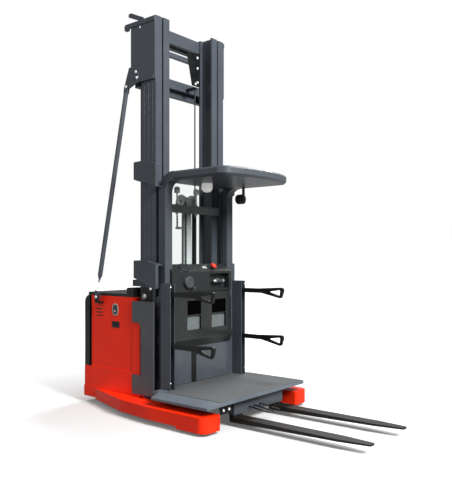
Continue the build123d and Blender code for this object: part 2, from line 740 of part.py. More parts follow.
def console():
    # A box across the cab's front between and before the posts, whose top slopes down to the operator.
    back = POST_BACK + CONSOLE_SET_IN
    corners = [(back, CONSOLE_LOW, 0), (back, SHELF_Z, 4), (SHELF_FRONT, SHELF_Z, 8),
               (PANEL_X, SHELF_Z - SLOPE_DROP, 10), (PANEL_X, CONSOLE_LOW, 0)]
    body = slab_y(corners, -INSIDE_HALF, INSIDE_HALF)
    for room in both(block(back, POST_FRONT, -INSIDE_HALF, -POST_IN, CONSOLE_LOW, SHELF_Z)):
        body -= room
    y0, y1, z0, z1 = RECESS
    return body - block(PANEL_X - RECESS_DEPTH, PANEL_X, y0, y1, z0, z1)


def console_controls():
    knob = rod_x(KNOB_Y, KNOB_H, STEER_KNOB_R, PANEL_X, PANEL_X + KNOB_T)
    knob = fillet(knob.edges().filter_by(GeomType.CIRCLE).group_by(Axis.X)[-1], KNOB_EDGE_R)
    knob += rod_x(KNOB_Y + GRIP_Y, KNOB_H - GRIP_DOWN, CONTROL_R, PANEL_X, PANEL_X + GRIP_REACH)
    y0, y1, z0, z1 = RECESS
    middle, height = (y0 + y1) / 2, (z0 + z1) / 2
    handle = rod_x(middle, height, CONTROL_R, PANEL_X - RECESS_DEPTH, PANEL_X - HANDLE_SET_IN)
    handle += rod_y(PANEL_X - CONTROL_R, height, HANDLE_R, middle - HANDLE_HALF, middle + HANDLE_HALF)
    run = PANEL_X - SHELF_FRONT
    down = SLOPE_DROP * (STOP_X - SHELF_FRONT) / run
    slope = Plane(origin=(STOP_X, STOP_Y, SHELF_Z - down), z_dir=(SLOPE_DROP, 0, run))
    stop = slope * (rod_z(0, 0, STOP_NECK_R, 0, STOP_NECK) + rod_z(0, 0, STOP_CAP_R, STOP_NECK, STOP_TOP))
    return [knob, handle, stop]


def lower_panel():
    # The panel with its windows, a lip at its lower edge and the kick panel below, in one bent sheet, and
    # the set back band under the console.
    corners = [(PANEL_X - PANEL_T, PANEL_TOP, 0), (PANEL_X, PANEL_TOP, 0), (PANEL_X, LIP_TOP, 0),
               (PANEL_X + LIP_REACH, LIP_TOP - LIP_REACH, 4), (PANEL_X + LIP_REACH, LIP_LOW, 4),
               (KICK_X, KICK_TOP, 0), (KICK_X, FLOOR_TOP, 0), (KICK_X - PANEL_T, FLOOR_TOP, 0),
               (KICK_X - PANEL_T, KICK_TOP, 0), (PANEL_X - PANEL_T, LIP_LOW, 0)]
    panel = slab_y(corners, -INSIDE_HALF, INSIDE_HALF)
    panel += block(BAND_X, PANEL_X - PANEL_T, -INSIDE_HALF, INSIDE_HALF, PANEL_TOP - BAND_LAP, CONSOLE_LOW)
    for y0, y1 in WINDOWS:
        for z0, z1 in WINDOW_ROWS:
            panel -= block(PANEL_X - PANEL_T, PANEL_X, y0, y1, z0, z1)
    return panel


def cab_glass():
    panes = [block(GUARD_BACK, GUARD_BACK + GLASS_T, -POST_IN, POST_IN, SHELF_Z, GUARD_LOW)]
    x = PANEL_X - PANEL_T
    for y0, y1 in WINDOWS:
        panes.append(block(x - GLASS_T, x, y0 - GLASS_LAP, y1 + GLASS_LAP, WINDOW_ROWS[0][0] - GLASS_LAP,
                           WINDOW_ROWS[-1][1] + GLASS_LAP))
    return panes


def ear(z0, z1, rise):
    # A cover with a curved top and a raised rear corner: an outer skin with a rim all round. The rim reaches
    # in to the post's side at the front, and stops short of the mast's side plates behind.
    rim = EAR_RIM
    corners = [(EAR_BACK, z0 + rise, 10), (EAR_BACK, z1 - 5, 8), (EAR_CROWN, z1, 300),
               (EAR_FRONT, z1 - EAR_DROP, 6), (EAR_FRONT, z0, 6)]
    inner = [(EAR_BACK + rim, z0 + rise + rim, 0), (EAR_BACK + rim, z1 - 5 - rim, 0),
             (EAR_CROWN, z1 - rim, 300), (EAR_FRONT - rim, z1 - EAR_DROP - rim, 0),
             (EAR_FRONT - rim, z0 + rim + 2, 0)]
    shell = slab_y(corners, -EAR_OUT, -POST_OUT) - slab_y(inner, -EAR_OUT + EAR_SKIN, -POST_OUT)
    shell -= block(EAR_BACK, BEAM_BACK + EAR_BEAM_LAP, -EAR_IN, -POST_OUT, z0, z1)
    return shell - block(EAR_FRONT - rim, EAR_FRONT, -EAR_OUT + EAR_FLANGE, -POST_OUT, z0 + EAR_MOUTH,
                         z1 - EAR_DROP - EAR_MOUTH)


def arm_post():
    # An upright channel that stands on the floor and holds both arms' pins between its walls.
    wall = ARM_POST_WALL
    post = block(ARM_POST_BACK, ARM_POST_FRONT, -ARM_POST_OUT, -ARM_POST_IN, FLOOR_TOP, ARM_POST_TOP)
    post -= block(ARM_POST_BACK + wall, ARM_POST_FRONT, -ARM_POST_OUT + wall, -ARM_POST_IN - wall,
                  FLOOR_TOP, ARM_POST_TOP)
    for z in ARM_Z.values():
        post += rod_y(ARM_X, z, ARM_PIN_R, -ARM_POST_OUT + wall - 1, -ARM_POST_IN - wall + 1)
    return post


def arm(z, side):
    # A slender bar that widens into a three-cornered loop for the hand.
    bar, loop = [[(ARM_END - back, z + up, radius) for back, up, radius in rows]
                 for rows in (ARM_OUTLINE, ARM_LOOP)]
    body = slab_y(bar, -ARM_T / 2, ARM_T / 2) + rod_y(ARM_X, z, ARM_HUB_R, -ARM_T / 2, ARM_T / 2)
    body -= slab_y(loop, -ARM_T / 2, ARM_T / 2)
    body -= rod_y(ARM_X, z, ARM_PIN_R + PIN_FIT, -ARM_T / 2, ARM_T / 2)
    return Pos(0, side * ARM_Y, 0) * body


def floor():
    deck = block(FLOOR_BACK, FLOOR_FRONT, -FLOOR_HALF, FLOOR_HALF, FLOOR_TOP - FLOOR_T, FLOOR_TOP)
    low = FLOOR_TOP - FLANGE_DROP
    corners = [(-FLOOR_HALF, FLOOR_TOP, 0), (-FLOOR_FLANGE_HALF, low, 0),
               (-FLOOR_FLANGE_HALF, low - FLANGE_T, 0), (-FLOOR_HALF, FLOOR_TOP - FLOOR_T, 0)]
    plan = [(FLANGE_BACK, -FLOOR_HALF, 0), (FLOOR_FRONT, -FLOOR_HALF, 0),
            (FLOOR_FRONT - FLANGE_CUT, -FLOOR_FLANGE_HALF, 0), (FLANGE_BACK, -FLOOR_FLANGE_HALF, 0)]
    flange = slab_x(corners, FLANGE_BACK, FLOOR_FRONT) & slab_z(plan, 0, FLOOR_TOP)
    for one in both(flange):
        deck += one
    return deck


def floor_frame():
    under = FLOOR_TOP - FLOOR_T
    frame = block(FORK_BEAM_BACK, FORK_SHANK_X, -FASCIA_HALF, FASCIA_HALF, FASCIA_LOW + BEAM_UP, under)
    face_x = FORK_SHANK_X + FORK_SHANK_T
    frame += block(face_x, face_x + FASCIA_T, -FASCIA_HALF, FASCIA_HALF, FASCIA_LOW, under)
    rib_in = FORK_Y + FORK_W / 2 + RUN
    for rib in both(block(FORK_SHANK_X, face_x, -FASCIA_HALF, -rib_in, FASCIA_LOW, under)):
        frame += rib
    for beam in both(block(POST_BACK, FORK_BEAM_BACK, -PLATE_OUT - PLATE_RIM, -PLATE_OUT, FRAME_LOW, under)):
        frame += beam
    return frame


def fork(side):
    # A blade that thins and narrows to its tip, under an upright shank.
    low = FORK_TOP - FORK_T
    tip = FORK_TOP - FORK_TIP_DROP
    profile = [(FORK_SHANK_X, low, FORK_HEEL_R), (FORK_REACH, tip - FORK_TIP_T, 0), (FORK_REACH, tip, 0),
               (FORK_SHANK_X + FORK_SHANK_T, FORK_TOP, 0),
               (FORK_SHANK_X + FORK_SHANK_T, FLOOR_TOP - FLOOR_T, 0), (FORK_SHANK_X, FLOOR_TOP - FLOOR_T, 0)]
    body = slab_y(profile, -FORK_W / 2, FORK_W / 2)
    taper = (FORK_W - FORK_TIP_W) / 2
    half, start = FORK_W / 2, FORK_REACH - FORK_TAPER
    plan = [(FORK_SHANK_X, -half, 0), (start, -half, 0), (FORK_REACH, -half + taper, FORK_TIP_R),
            (FORK_REACH, half - taper, FORK_TIP_R), (start, half, 0), (FORK_SHANK_X, half, 0)]
    return Pos(0, side * FORK_Y, 0) * (body & slab_z(plan, low - 1, FLOOR_TOP))


def drive_pieces():
    ring_top = RING_Z - RUN
    yoke = rod_z(DRIVE_X, 0, YOKE_RING_R, ring_top - YOKE_RING_T, ring_top)
    yoke += rod_z(DRIVE_X, 0, YOKE_NECK_R, ring_top, RING_Z + RING_T - 2)
    for cheek in both(block(DRIVE_X - YOKE_HALF, DRIVE_X + YOKE_HALF, -YOKE_IN - YOKE_T, -YOKE_IN,
                            DRIVE_R - YOKE_HALF, ring_top - YOKE_CHEEK_UP)):
        yoke += fillet(cheek.edges().filter_by(Axis.Y).group_by(Axis.Z)[0], YOKE_CHEEK_R)
    yoke -= rod_y(DRIVE_X, DRIVE_R, DRIVE_AXLE_R + PIN_FIT, -YOKE_IN - YOKE_T, YOKE_IN + YOKE_T)
    tyre = rod_y(DRIVE_X, DRIVE_R, DRIVE_R, -DRIVE_W / 2, DRIVE_W / 2)
    tyre = fillet(tyre.edges().filter_by(GeomType.CIRCLE), TYRE_R)
    tyre -= rod_y(DRIVE_X, DRIVE_R, DRIVE_RIM_R, -DRIVE_W, DRIVE_W)
    hub = rod_y(DRIVE_X, DRIVE_R, DRIVE_RIM_R, -DRIVE_W / 2 + HUB_IN, DRIVE_W / 2 - HUB_IN)
    axle_end = YOKE_IN + YOKE_T
    hub += rod_y(DRIVE_X, DRIVE_R, DRIVE_AXLE_R, -axle_end, axle_end)
    return yoke, tyre, hub


def hinge_axis():
    # The lid turns about pins that lie on its front edge, against the ridge.
    return RIDGE_BACK - HINGE_R - RUN, HOOD_TOP + RUN + LID_T + HINGE_R + RUN


def battery_lid():
    half = CHASSIS_HALF - HOOD_INSET
    front = RIDGE_BACK - LID_GAP
    corners = [(-REAR_REACH + HOOD_INSET, -half, CORNER_R - HOOD_INSET), (front, -half, 0),
               (front, half, 0), (-REAR_REACH + HOOD_INSET, half, CORNER_R - HOOD_INSET)]
    low = HOOD_TOP + RUN
    lid = slab_z(corners, low, low + LID_T)
    lid = fillet(lid.edges().group_by(Axis.Z)[-1], LID_EDGE_R)
    x, z = hinge_axis()
    for y in HINGE_Y:
        lid += rod_y(x, z, HINGE_R, y - HINGE_W / 4 + RUN, y + HINGE_W / 4 - RUN)
        lid += block(x - LEAF, x, y - HINGE_W / 4 + RUN, y + HINGE_W / 4 - RUN,
                     low + LID_T - 1, z - LEAF_DROP)
    return lid


def black_trims():
    # Two quarter-round trims on the hood's rear corners, and the ridge between the lid and the mast.
    back, half = -REAR_REACH, CHASSIS_HALF
    proud = HOOD_INSET - TRIM_T
    ring = slab_z(hull_outline(proud, CORNER_R - proud), SKIRT_TOP, HOOD_TOP - TRIM_DROP)
    ring -= slab_z(hull_outline(HOOD_INSET, CORNER_R - HOOD_INSET), SKIRT_TOP, HOOD_TOP)
    reach = CORNER_R + TRIM_REACH
    trims = [ring & block(back, back + reach, -half, -half + reach, SKIRT_TOP, HOOD_TOP)]
    trims.append(left(trims[0]))
    ridge = block(RIDGE_BACK, CHASSIS_FRONT, -half + HOOD_INSET, half - HOOD_INSET, HOOD_TOP, RIDGE_TOP)
    ridge = fillet(ridge.edges().filter_by(Axis.Y).group_by(Axis.Z)[-1], RIDGE_R)
    x, z = hinge_axis()
    for y in HINGE_Y:
        for y0, y1 in ((y - HINGE_W / 2, y - HINGE_W / 4), (y + HINGE_W / 4, y + HINGE_W / 2)):
            ridge += rod_y(x, z, HINGE_R, y0, y1)
            ridge += block(x, RIDGE_BACK, y0, y1, z - KNUCKLE_LEAF, z + KNUCKLE_LEAF)
    return trims + [ridge]


def side_cover():
    corners = [(COVER_BACK, COVER_LOW, 0), (COVER_BACK, NOTCH_LOW, 0),
               (COVER_BACK + NOTCH_DEPTH, NOTCH_LOW, NOTCH_LOW_R),
               (COVER_BACK + NOTCH_DEPTH, NOTCH_TOP, NOTCH_TOP_R),
               (COVER_BACK, NOTCH_TOP, 0), (COVER_BACK, COVER_TOP, 12), (COVER_FRONT, COVER_TOP, 12),
               (COVER_FRONT, COVER_LOW, 12)]
    cover = slab_y(corners, -COVER_IN - COVER_T, -COVER_IN)
    for z in COVER_RIBS:
        cover += block(*RIB, -COVER_IN, -MAST_SIDE, z, z + COVER_T)
    return cover


def write_truck():
    keep("chassis", chassis())
    keep("right_leg", leg())
    keep("left_leg", left(leg()))
    keep("outer_rails", *both(outer_rail()))
    keep("outer_mast_ties", *outer_mast_ties())
    keep("mast_side_covers", *both(side_cover()))
    barrel = rod_z(SIDE_CYL_X, -SIDE_CYL_Y, SIDE_CYL_R, MAST_FOOT, SIDE_CYL_TOP)
    barrel -= rod_z(SIDE_CYL_X, -SIDE_CYL_Y, SIDE_ROD_R + BORE_GAP,
                    SIDE_ROD_LOW - SIDE_BORE_SPARE, SIDE_CYL_TOP)
    keep("lift_cylinders", *both(barrel))
    keep("outer_rollers", *both(roller(OUTER_ROLLER, INNER_WEB + WEB + 3, INNER_EDGE + RAIL_WIDTH - 2,
                                       INNER_WEB + WEB + 3, MAST_SIDE - WEB)))
    keep("stay_lug", stay_lug())
    keep("stay_rod", stay_rod())
    keep("battery", block(BATTERY_BACK, BATTERY_FRONT, -BATTERY_HALF, BATTERY_HALF,
                          TRAY_Z, TRAY_Z + BATTERY_H))
    keep("drive_motor", rod_z(DRIVE_X, 0, MOTOR_R, RING_Z + RING_T, RING_Z + RING_T + MOTOR_H))
    keep("black_trims", *black_trims())
    keep("battery_lid", battery_lid())
    yoke, tyre, hub = drive_pieces()
    keep("steer_yoke", yoke)
    keep("drive_tyre", tyre)
    keep("drive_hub", hub)
    for side_name, side in (("right", -1), ("left", 1)):
        for end_name, x in zip(("rear", "front"), LOAD_X):
            keep(f"{side_name}_{end_name}_load_wheel", load_wheel(x, side))


def write_inner_mast():
    keep("inner_rails", *both(inner_rail()))
    edge = INNER_EDGE + RAIL_WIDTH
    bars = [block(INNER_BAR_BACK, -RAIL_DEPTH, -edge, edge, z0, z1) for z0, z1 in INNER_BARS]
    keep("inner_crossbars", *bars)
    near = OUTER_EDGE + 8
    rollers = [roller(z, near, near + ROLLER_W, INNER_WEB + WEB, near + 2) for z in INNER_ROLLERS]
    keep("inner_rollers", *[one for each in rollers for one in both(each)])
    lug = block(SIDE_CYL_X - SIDE_CYL_R, -RAIL_DEPTH - 2, -SIDE_CYL_Y - SIDE_CYL_R, -edge,
                LUG_Z, LUG_Z + LUG_T)
    rod = rod_z(SIDE_CYL_X, -SIDE_CYL_Y, SIDE_ROD_R, SIDE_ROD_LOW, LUG_Z)
    keep("lift_rods", *both(rod), *both(lug))
    keep("free_lift_cylinder", free_lift_cylinder())
    guide = [(y, INNER_TOP - down, radius) for y, down, radius in GUIDE_PLATE]
    clamp = block(-RAIL_DEPTH, FREE_X + HOSE_BLOCK, HOSE_Y - HOSE_BLOCK, HOSE_Y + HOSE_BLOCK,
                  HOSE_TOP, HOSE_TOP + HOSE_BLOCK_H)
    keep("hose_bracket", slab_x(guide, -RAIL_DEPTH, -RAIL_DEPTH + GUIDE_T), clamp)
    keep("lift_head", lift_head())
    keep("lift_sheaves", sheave(-1), sheave(1))
    keep("rear_chains", *chain(-1, REAR_ANCHOR_Z, SHEAVE_Z))


def write_cab():
    keep("front_chains", *chain(1, CAB_ANCHOR_Z, SHEAVE_Z))
    keep("hose", rod_z(FREE_X, HOSE_Y, HOSE_R, HOSE_LOW, HOSE_TOP))
    keep("carriage", carriage())
    keep("cab_posts", *both(cab_post()))
    keep("overhead_guard", overhead_guard())
    keep("guard_dome", guard_dome())
    keep("work_lamp", work_lamp())
    keep("console", console())
    keep("console_controls", *console_controls())
    keep("lower_panel", lower_panel())
    keep("cab_glass", *cab_glass())
    keep("mast_ears", *[one for row in EARS for one in both(ear(*row))])
    keep("arm_posts", *both(arm_post()))
    keep("floor", floor())
    keep("floor_frame", floor_frame())
    for side_name, side in (("right", -1), ("left", 1)):
        keep(f"{side_name}_fork", fork(side))
        for level, z in ARM_Z.items():
            keep(f"{side_name}_{level}_arm", arm(z, side))


os.makedirs("parts", exist_ok=True)
write_truck()
write_inner_mast()
write_cab()
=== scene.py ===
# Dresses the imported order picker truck: a finish for every CAD piece, and the small parts that the CAD
# leaves out. Shapes are in metres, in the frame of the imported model. "mast" is the x of its front face.
import json
import math

import bpy
import numpy as np
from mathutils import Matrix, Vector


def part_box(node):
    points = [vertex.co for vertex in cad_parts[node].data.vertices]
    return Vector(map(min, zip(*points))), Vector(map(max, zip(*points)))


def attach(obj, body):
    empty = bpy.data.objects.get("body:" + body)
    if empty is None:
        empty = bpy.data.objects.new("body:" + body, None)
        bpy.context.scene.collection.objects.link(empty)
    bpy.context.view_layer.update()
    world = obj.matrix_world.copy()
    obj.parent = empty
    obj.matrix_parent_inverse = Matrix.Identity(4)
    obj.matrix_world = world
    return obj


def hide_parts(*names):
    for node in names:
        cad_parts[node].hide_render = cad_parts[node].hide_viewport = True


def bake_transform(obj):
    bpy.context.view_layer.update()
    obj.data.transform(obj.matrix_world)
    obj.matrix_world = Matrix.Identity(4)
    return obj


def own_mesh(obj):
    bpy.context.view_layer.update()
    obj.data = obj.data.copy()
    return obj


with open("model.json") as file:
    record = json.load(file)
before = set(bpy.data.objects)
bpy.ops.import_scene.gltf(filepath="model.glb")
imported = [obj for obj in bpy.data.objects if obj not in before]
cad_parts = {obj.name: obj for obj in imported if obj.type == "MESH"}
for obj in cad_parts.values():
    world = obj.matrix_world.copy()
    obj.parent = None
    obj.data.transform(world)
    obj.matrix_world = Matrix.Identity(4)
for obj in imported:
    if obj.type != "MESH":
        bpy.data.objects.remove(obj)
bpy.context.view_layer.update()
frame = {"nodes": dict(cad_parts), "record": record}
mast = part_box("outer_rails")[1].x
print("frame loaded")


# Colour and nodes

def linear(hexColour):
    # sRGB hex to linear light: the low part is a straight line, the rest a power curve.
    parts = [int(hexColour[i:i + 2], 16) / 255 for i in (1, 3, 5)]
    return [c / 12.92 if c <= 0.04045 else ((c + 0.055) / 1.055) ** 2.4 for c in parts] + [1.0]


def addNode(tree, kind, settings=None, links=None):
    # Adds one node. A setting goes to the node's own property or to the input socket of that name or number,
    # and a link joins an input to (node, output).
    node = tree.nodes.new(kind)
    for key, value in (settings or {}).items():
        if isinstance(key, str) and hasattr(node, key):
            setattr(node, key, value)
        else:
            node.inputs[key].default_value = value
    for key, (source, output) in (links or {}).items():
        tree.links.new(source.outputs[output], node.inputs[key])
    return node


def newFinish(name):
    finish = bpy.data.materials.new(name)
    finish.use_nodes = True
    finish.node_tree.nodes.clear()
    return finish, finish.node_tree


def objectCoords(tree, cellMm, stretch=(1, 1, 1)):
    # Object coordinates scaled so that one unit of the pattern is cellMm millimetres.
    coords = addNode(tree, "ShaderNodeTexCoord")
    size = [s * 1000 / cellMm for s in stretch]
    return addNode(tree, "ShaderNodeMapping", {"Scale": size}, {"Vector": (coords, "Object")})


def noiseAt(tree, cellMm, detail=3.0, rough=0.5, stretch=(1, 1, 1)):
    place = objectCoords(tree, cellMm, stretch)
    return addNode(tree, "ShaderNodeTexNoise", {"Scale": 1.0, "Detail": detail, "Roughness": rough},
                   {"Vector": (place, "Vector")})


def mixColours(tree, factor, first, second):
    # factor is (node, output); first and second are hex colours or (node, output).
    mix = addNode(tree, "ShaderNodeMix", {"data_type": "RGBA"})
    tree.links.new(factor[0].outputs[factor[1]], mix.inputs[0])
    for socket, value in ((6, first), (7, second)):
        if isinstance(value, str):
            mix.inputs[socket].default_value = linear(value)
        else:
            tree.links.new(value[0].outputs[value[1]], mix.inputs[socket])
    return mix, 2


def ramp(tree, source, low, high, outLow=0.0, outHigh=1.0):
    limits = {"From Min": low, "From Max": high, "To Min": outLow, "To Max": outHigh}
    return addNode(tree, "ShaderNodeMapRange", limits, {"Value": source})


def softEdge(tree, radius):
    # Rounds the edges that the CAD leaves sharp, for the eye alone, by the radius in metres.
    return addNode(tree, "ShaderNodeBevel", {"samples": 4, "Radius": radius})


def outputOf(tree, shader):
    addNode(tree, "ShaderNodeOutputMaterial", {}, {"Surface": (shader, 0)})


# Paint

film = dict(grimeMm=60, cloudMm=45, smoother=0.05, rougher=0.06, specular=0.25, clearRough=0.12, depth=0.0004)


def coatedSteel(name, look):
    # Powder coat or enamel on steel: a sprayed film with orange peel, a little uneven in colour and gloss,
    # paler with dust low down. Real orange peel has cells of 1 mm; peelMm is coarser, so that it shows.
    finish, tree = newFinish(name)
    patches = ramp(tree, (noiseAt(tree, look["patchMm"], 4.0), "Fac"), 0.35, 0.65)
    base = mixColours(tree, (patches, 0), look["colour"], look["shade"])
    coords = addNode(tree, "ShaderNodeTexCoord")
    height = addNode(tree, "ShaderNodeSeparateXYZ", {}, {0: (coords, "Object")})
    low = ramp(tree, (height, "Z"), look["dustTop"], 0.0, 0.0, look["dust"])
    specks = ramp(tree, (noiseAt(tree, film["grimeMm"], 6.0, 0.7), "Fac"), 0.35, 0.7)
    grime = addNode(tree, "ShaderNodeMath", {"operation": "MULTIPLY"}, {0: (low, 0), 1: (specks, 0)})
    base = mixColours(tree, (grime, 0), base, look["dustColour"])
    rough = ramp(tree, (noiseAt(tree, film["cloudMm"], 4.0, 0.6), "Fac"), 0.3, 0.7,
                 look["rough"] - film["smoother"], look["rough"] + film["rougher"])
    peel = noiseAt(tree, look["peelMm"], 1.0)
    bump = addNode(tree, "ShaderNodeBump", {"Strength": look["peel"], "Distance": film["depth"]},
                   {"Height": (peel, "Fac"), "Normal": (softEdge(tree, look["edge"]), "Normal")})
    shader = addNode(tree, "ShaderNodeBsdfPrincipled",
                     {"Metallic": 0.0, "IOR": 1.5, "Specular IOR Level": film["specular"],
                      "Coat Weight": look["coat"], "Coat Roughness": film["clearRough"]},
                     {"Base Color": base, "Roughness": (rough, 0), "Normal": (bump, 0)})
    outputOf(tree, shader)
    return finish


coats = {
    # Signal red powder coat of the chassis and legs: satin, warm, hardly dirty.
    "redPowderCoat": dict(colour="#F22A04", shade="#E62603", patchMm=400, dustTop=0.25, dust=0.10,
                          dustColour="#B8573A", rough=0.42, peelMm=2.4, peel=0.10, edge=0.004, coat=0.05),
    # Blue-grey powder coat on rolled mast sections: satin, with crisp edges.
    "slatePowderCoat": dict(colour="#41464D", shade="#3B4047", patchMm=300, dustTop=0.5, dust=0.10,
                            dustColour="#55575A", rough=0.40, peelMm=2.0, peel=0.10, edge=0.0025, coat=0.1),
    # The same on the folded covers at the mast's foot, a little warmer and duller.
    "coverPowderCoat": dict(colour="#4D4F54", shade="#47494E", patchMm=300, dustTop=0.5, dust=0.10,
                            dustColour="#66676A", rough=0.45, peelMm=2.0, peel=0.10, edge=0.004, coat=0.05),
    # Grey powder coat of the cab's posts and guard, a shade darker than the mast.
    "cabPowderCoat": dict(colour="#3F444A", shade="#393E44", patchMm=260, dustTop=0.4, dust=0.10,
                          dustColour="#5E6064", rough=0.40, peelMm=2.0, peel=0.12, edge=0.004, coat=0.1),
    # The cab's coat again on the flat kick plate, where the sheet is smooth and shines more.
    "kickEnamel": dict(colour="#3F444A", shade="#393E44", patchMm=260, dustTop=0.4, dust=0.10,
                       dustColour="#5E6064", rough=0.28, peelMm=2.0, peel=0.12, edge=0.004, coat=0.3),
    # Pale enamel of the platform's edge: walked on, so smoother and dustier in colour.
    "deckEnamel": dict(colour="#5C636B", shade="#535A62", patchMm=200, dustTop=0.3, dust=0.10,
                       dustColour="#85837E", rough=0.36, peelMm=2.0, peel=0.10, edge=0.003, coat=0.1),
    # Grey powder coat on the round stay rod, in small patches.
    "stayPowderCoat": dict(colour="#40444A", shade="#393D43", patchMm=120, dustTop=0.3, dust=0.1,
                           dustColour="#5B5C5E", rough=0.4, peelMm=2.0, peel=0.1, edge=0.0015, coat=0.1),
    # Black powder coat of arms and brackets: deep, with a soft sheen.
    "blackPowderCoat": dict(colour="#0B0C0D", shade="#101112", patchMm=90, dustTop=0.3, dust=0.05,
                            dustColour="#3A3A39", rough=0.42, peelMm=1.8, peel=0.15, edge=0.002, coat=0.05),
    # Black enamel on forged forks: brownish where pallets rub it.
    "forkEnamel": dict(colour="#100F0E", shade="#171513", patchMm=120, dustTop=0.12, dust=0.25,
                       dustColour="#4A443B", rough=0.45, peelMm=1.6, peel=0.12, edge=0.003, coat=0.0),
    # Stoved enamel of the panel under the console: dark and nearly smooth.
    "panelEnamel": dict(colour="#222424", shade="#1E2020", patchMm=200, dustTop=0.4, dust=0.05,
                        dustColour="#55575A", rough=0.25, peelMm=1.5, peel=0.05, edge=0.002, coat=0.15),
    # Acid-proof paint of the battery's trough: dull and dusty.
    "batterySteel": dict(colour="#3A3D40", shade="#303336", patchMm=150, dustTop=0.5, dust=0.2,
                         dustColour="#6B6C6C", rough=0.5, peelMm=2.0, peel=0.1, edge=0.002, coat=0.0),
    # Light grey enamel of the lift cylinders' barrels.
    "cylinderEnamel": dict(colour="#B9BDBF", shade="#AEB2B4", patchMm=150, dustTop=0.4, dust=0.1,
                           dustColour="#6B6C6C", rough=0.35, peelMm=2.0, peel=0.08, edge=0.002, coat=0.1),
    # Bare grey enamel where a sign would be.
    "blankGrey": dict(colour="#9DA0A1", shade="#939697", patchMm=100, dustTop=0.1, dust=0.05,
                      dustColour="#9A9A98", rough=0.4, peelMm=1.5, peel=0.05, edge=0.001, coat=0.0),
    # Warm grey enamel round the key switch.
    "keyEnamel": dict(colour="#A9AAA2", shade="#9C9D96", patchMm=100, dustTop=0.1, dust=0.05,
                      dustColour="#9A9A98", rough=0.4, peelMm=1.5, peel=0.05, edge=0.001, coat=0.0),
}

# Bare metal

worked = dict(bloomMm=30, edge=0.0008, grooves=0.15, depth=0.0002)


def bareMetal(name, look):
    # Ground, turned, plated or rolled metal: fine scratches along one way, with a duller bloom in patches.
    # Real scratches are finer than 0.1 mm, and scratchMm is as coarse as they need to be to show.
    finish, tree = newFinish(name)
    scratches = noiseAt(tree, look["scratchMm"], 3.0, 0.6, look["along"])
    bloom = ramp(tree, (noiseAt(tree, worked["bloomMm"], 4.0, 0.6), "Fac"), 0.35, 0.7)
    base = mixColours(tree, (bloom, 0), look["colour"], look["shade"])
    rough = addNode(tree, "ShaderNodeMath",
                    {"operation": "MULTIPLY_ADD", 1: look["scratch"], 2: look["rough"]},
                    {0: (scratches, "Fac")})
    bump = addNode(tree, "ShaderNodeBump", {"Strength": worked["grooves"], "Distance": worked["depth"]},
                   {"Height": (scratches, "Fac"), "Normal": (softEdge(tree, worked["edge"]), "Normal")})
    shader = addNode(tree, "ShaderNodeBsdfPrincipled", {"Metallic": look["metallic"]},
                     {"Base Color": base, "Roughness": (rough, 0), "Normal": (bump, 0)})
    outputOf(tree, shader)
    return finish


metals = {
    # Turned steel of rollers, hubs and grips: bright, with rings from the lathe.
    "turnedSteel": dict(colour="#C9CBCC", shade="#ACAEB0", scratchMm=4, along=(1, 1, 12), scratch=0.18,
                        rough=0.28, metallic=0.6),
    # Hard chrome of the piston rods: a mirror with faint lengthwise lines.
    "groundChrome": dict(colour="#D6D8DA", shade="#C5C7C9", scratchMm=3, along=(12, 12, 1), scratch=0.08,
                         rough=0.1, metallic=1.0),
    # Zinc plate of bolts and threads, pale grey in itself, painted near-white with little metal as a painted
    # highlight, so that it stays bright in shade.
    "zincPlate": dict(colour="#EDEEEF", shade="#D8DADB", scratchMm=5, along=(1, 1, 1), scratch=0.2,
                      rough=0.3, metallic=0.15),
    # Oiled steel of the leaf chains: dark, brownish, wet in the light.
    "oiledChain": dict(colour="#4B4A48", shade="#35332F", scratchMm=5, along=(1, 1, 1), scratch=0.2,
                       rough=0.35, metallic=0.8),
    # Cold-rolled sheet, dull and even.
    "sheetSteel": dict(colour="#6F7375", shade="#616567", scratchMm=8, along=(1, 1, 1), scratch=0.15,
                       rough=0.5, metallic=0.2),
    # Sand-cast iron of yoke and motor: grey and grainy.
    "castIron": dict(colour="#55565A", shade="#45464A", scratchMm=6, along=(1, 1, 1), scratch=0.2,
                     rough=0.5, metallic=0.5),
}

# Plastic and rubber

moulding = dict(wearMm=70, specular=0.25, depth=0.0004, roundness=0.6)


def mouldedPlastic(name, look):
    # Moulded ABS or rubber: spark-eroded grain from the mould, as small soft cells of the real 1 to 3 mm.
    finish, tree = newFinish(name)
    place = objectCoords(tree, look["grainMm"])
    grain = addNode(tree, "ShaderNodeTexVoronoi",
                    {"feature": "SMOOTH_F1", "Scale": 1.0, "Smoothness": moulding["roundness"]},
                    {"Vector": (place, "Vector")})
    wear = ramp(tree, (noiseAt(tree, moulding["wearMm"], 5.0, 0.65), "Fac"), 0.4, 0.75)
    base = mixColours(tree, (wear, 0), look["colour"], look["shade"])
    bump = addNode(tree, "ShaderNodeBump", {"Strength": look["grain"], "Distance": moulding["depth"]},
                   {"Height": (grain, "Distance"), "Normal": (softEdge(tree, look["edge"]), "Normal")})
    shader = addNode(tree, "ShaderNodeBsdfPrincipled",
                     {"Roughness": look["rough"], "IOR": 1.5, "Specular IOR Level": moulding["specular"]},
                     {"Base Color": base, "Normal": (bump, 0)})
    outputOf(tree, shader)
    return finish


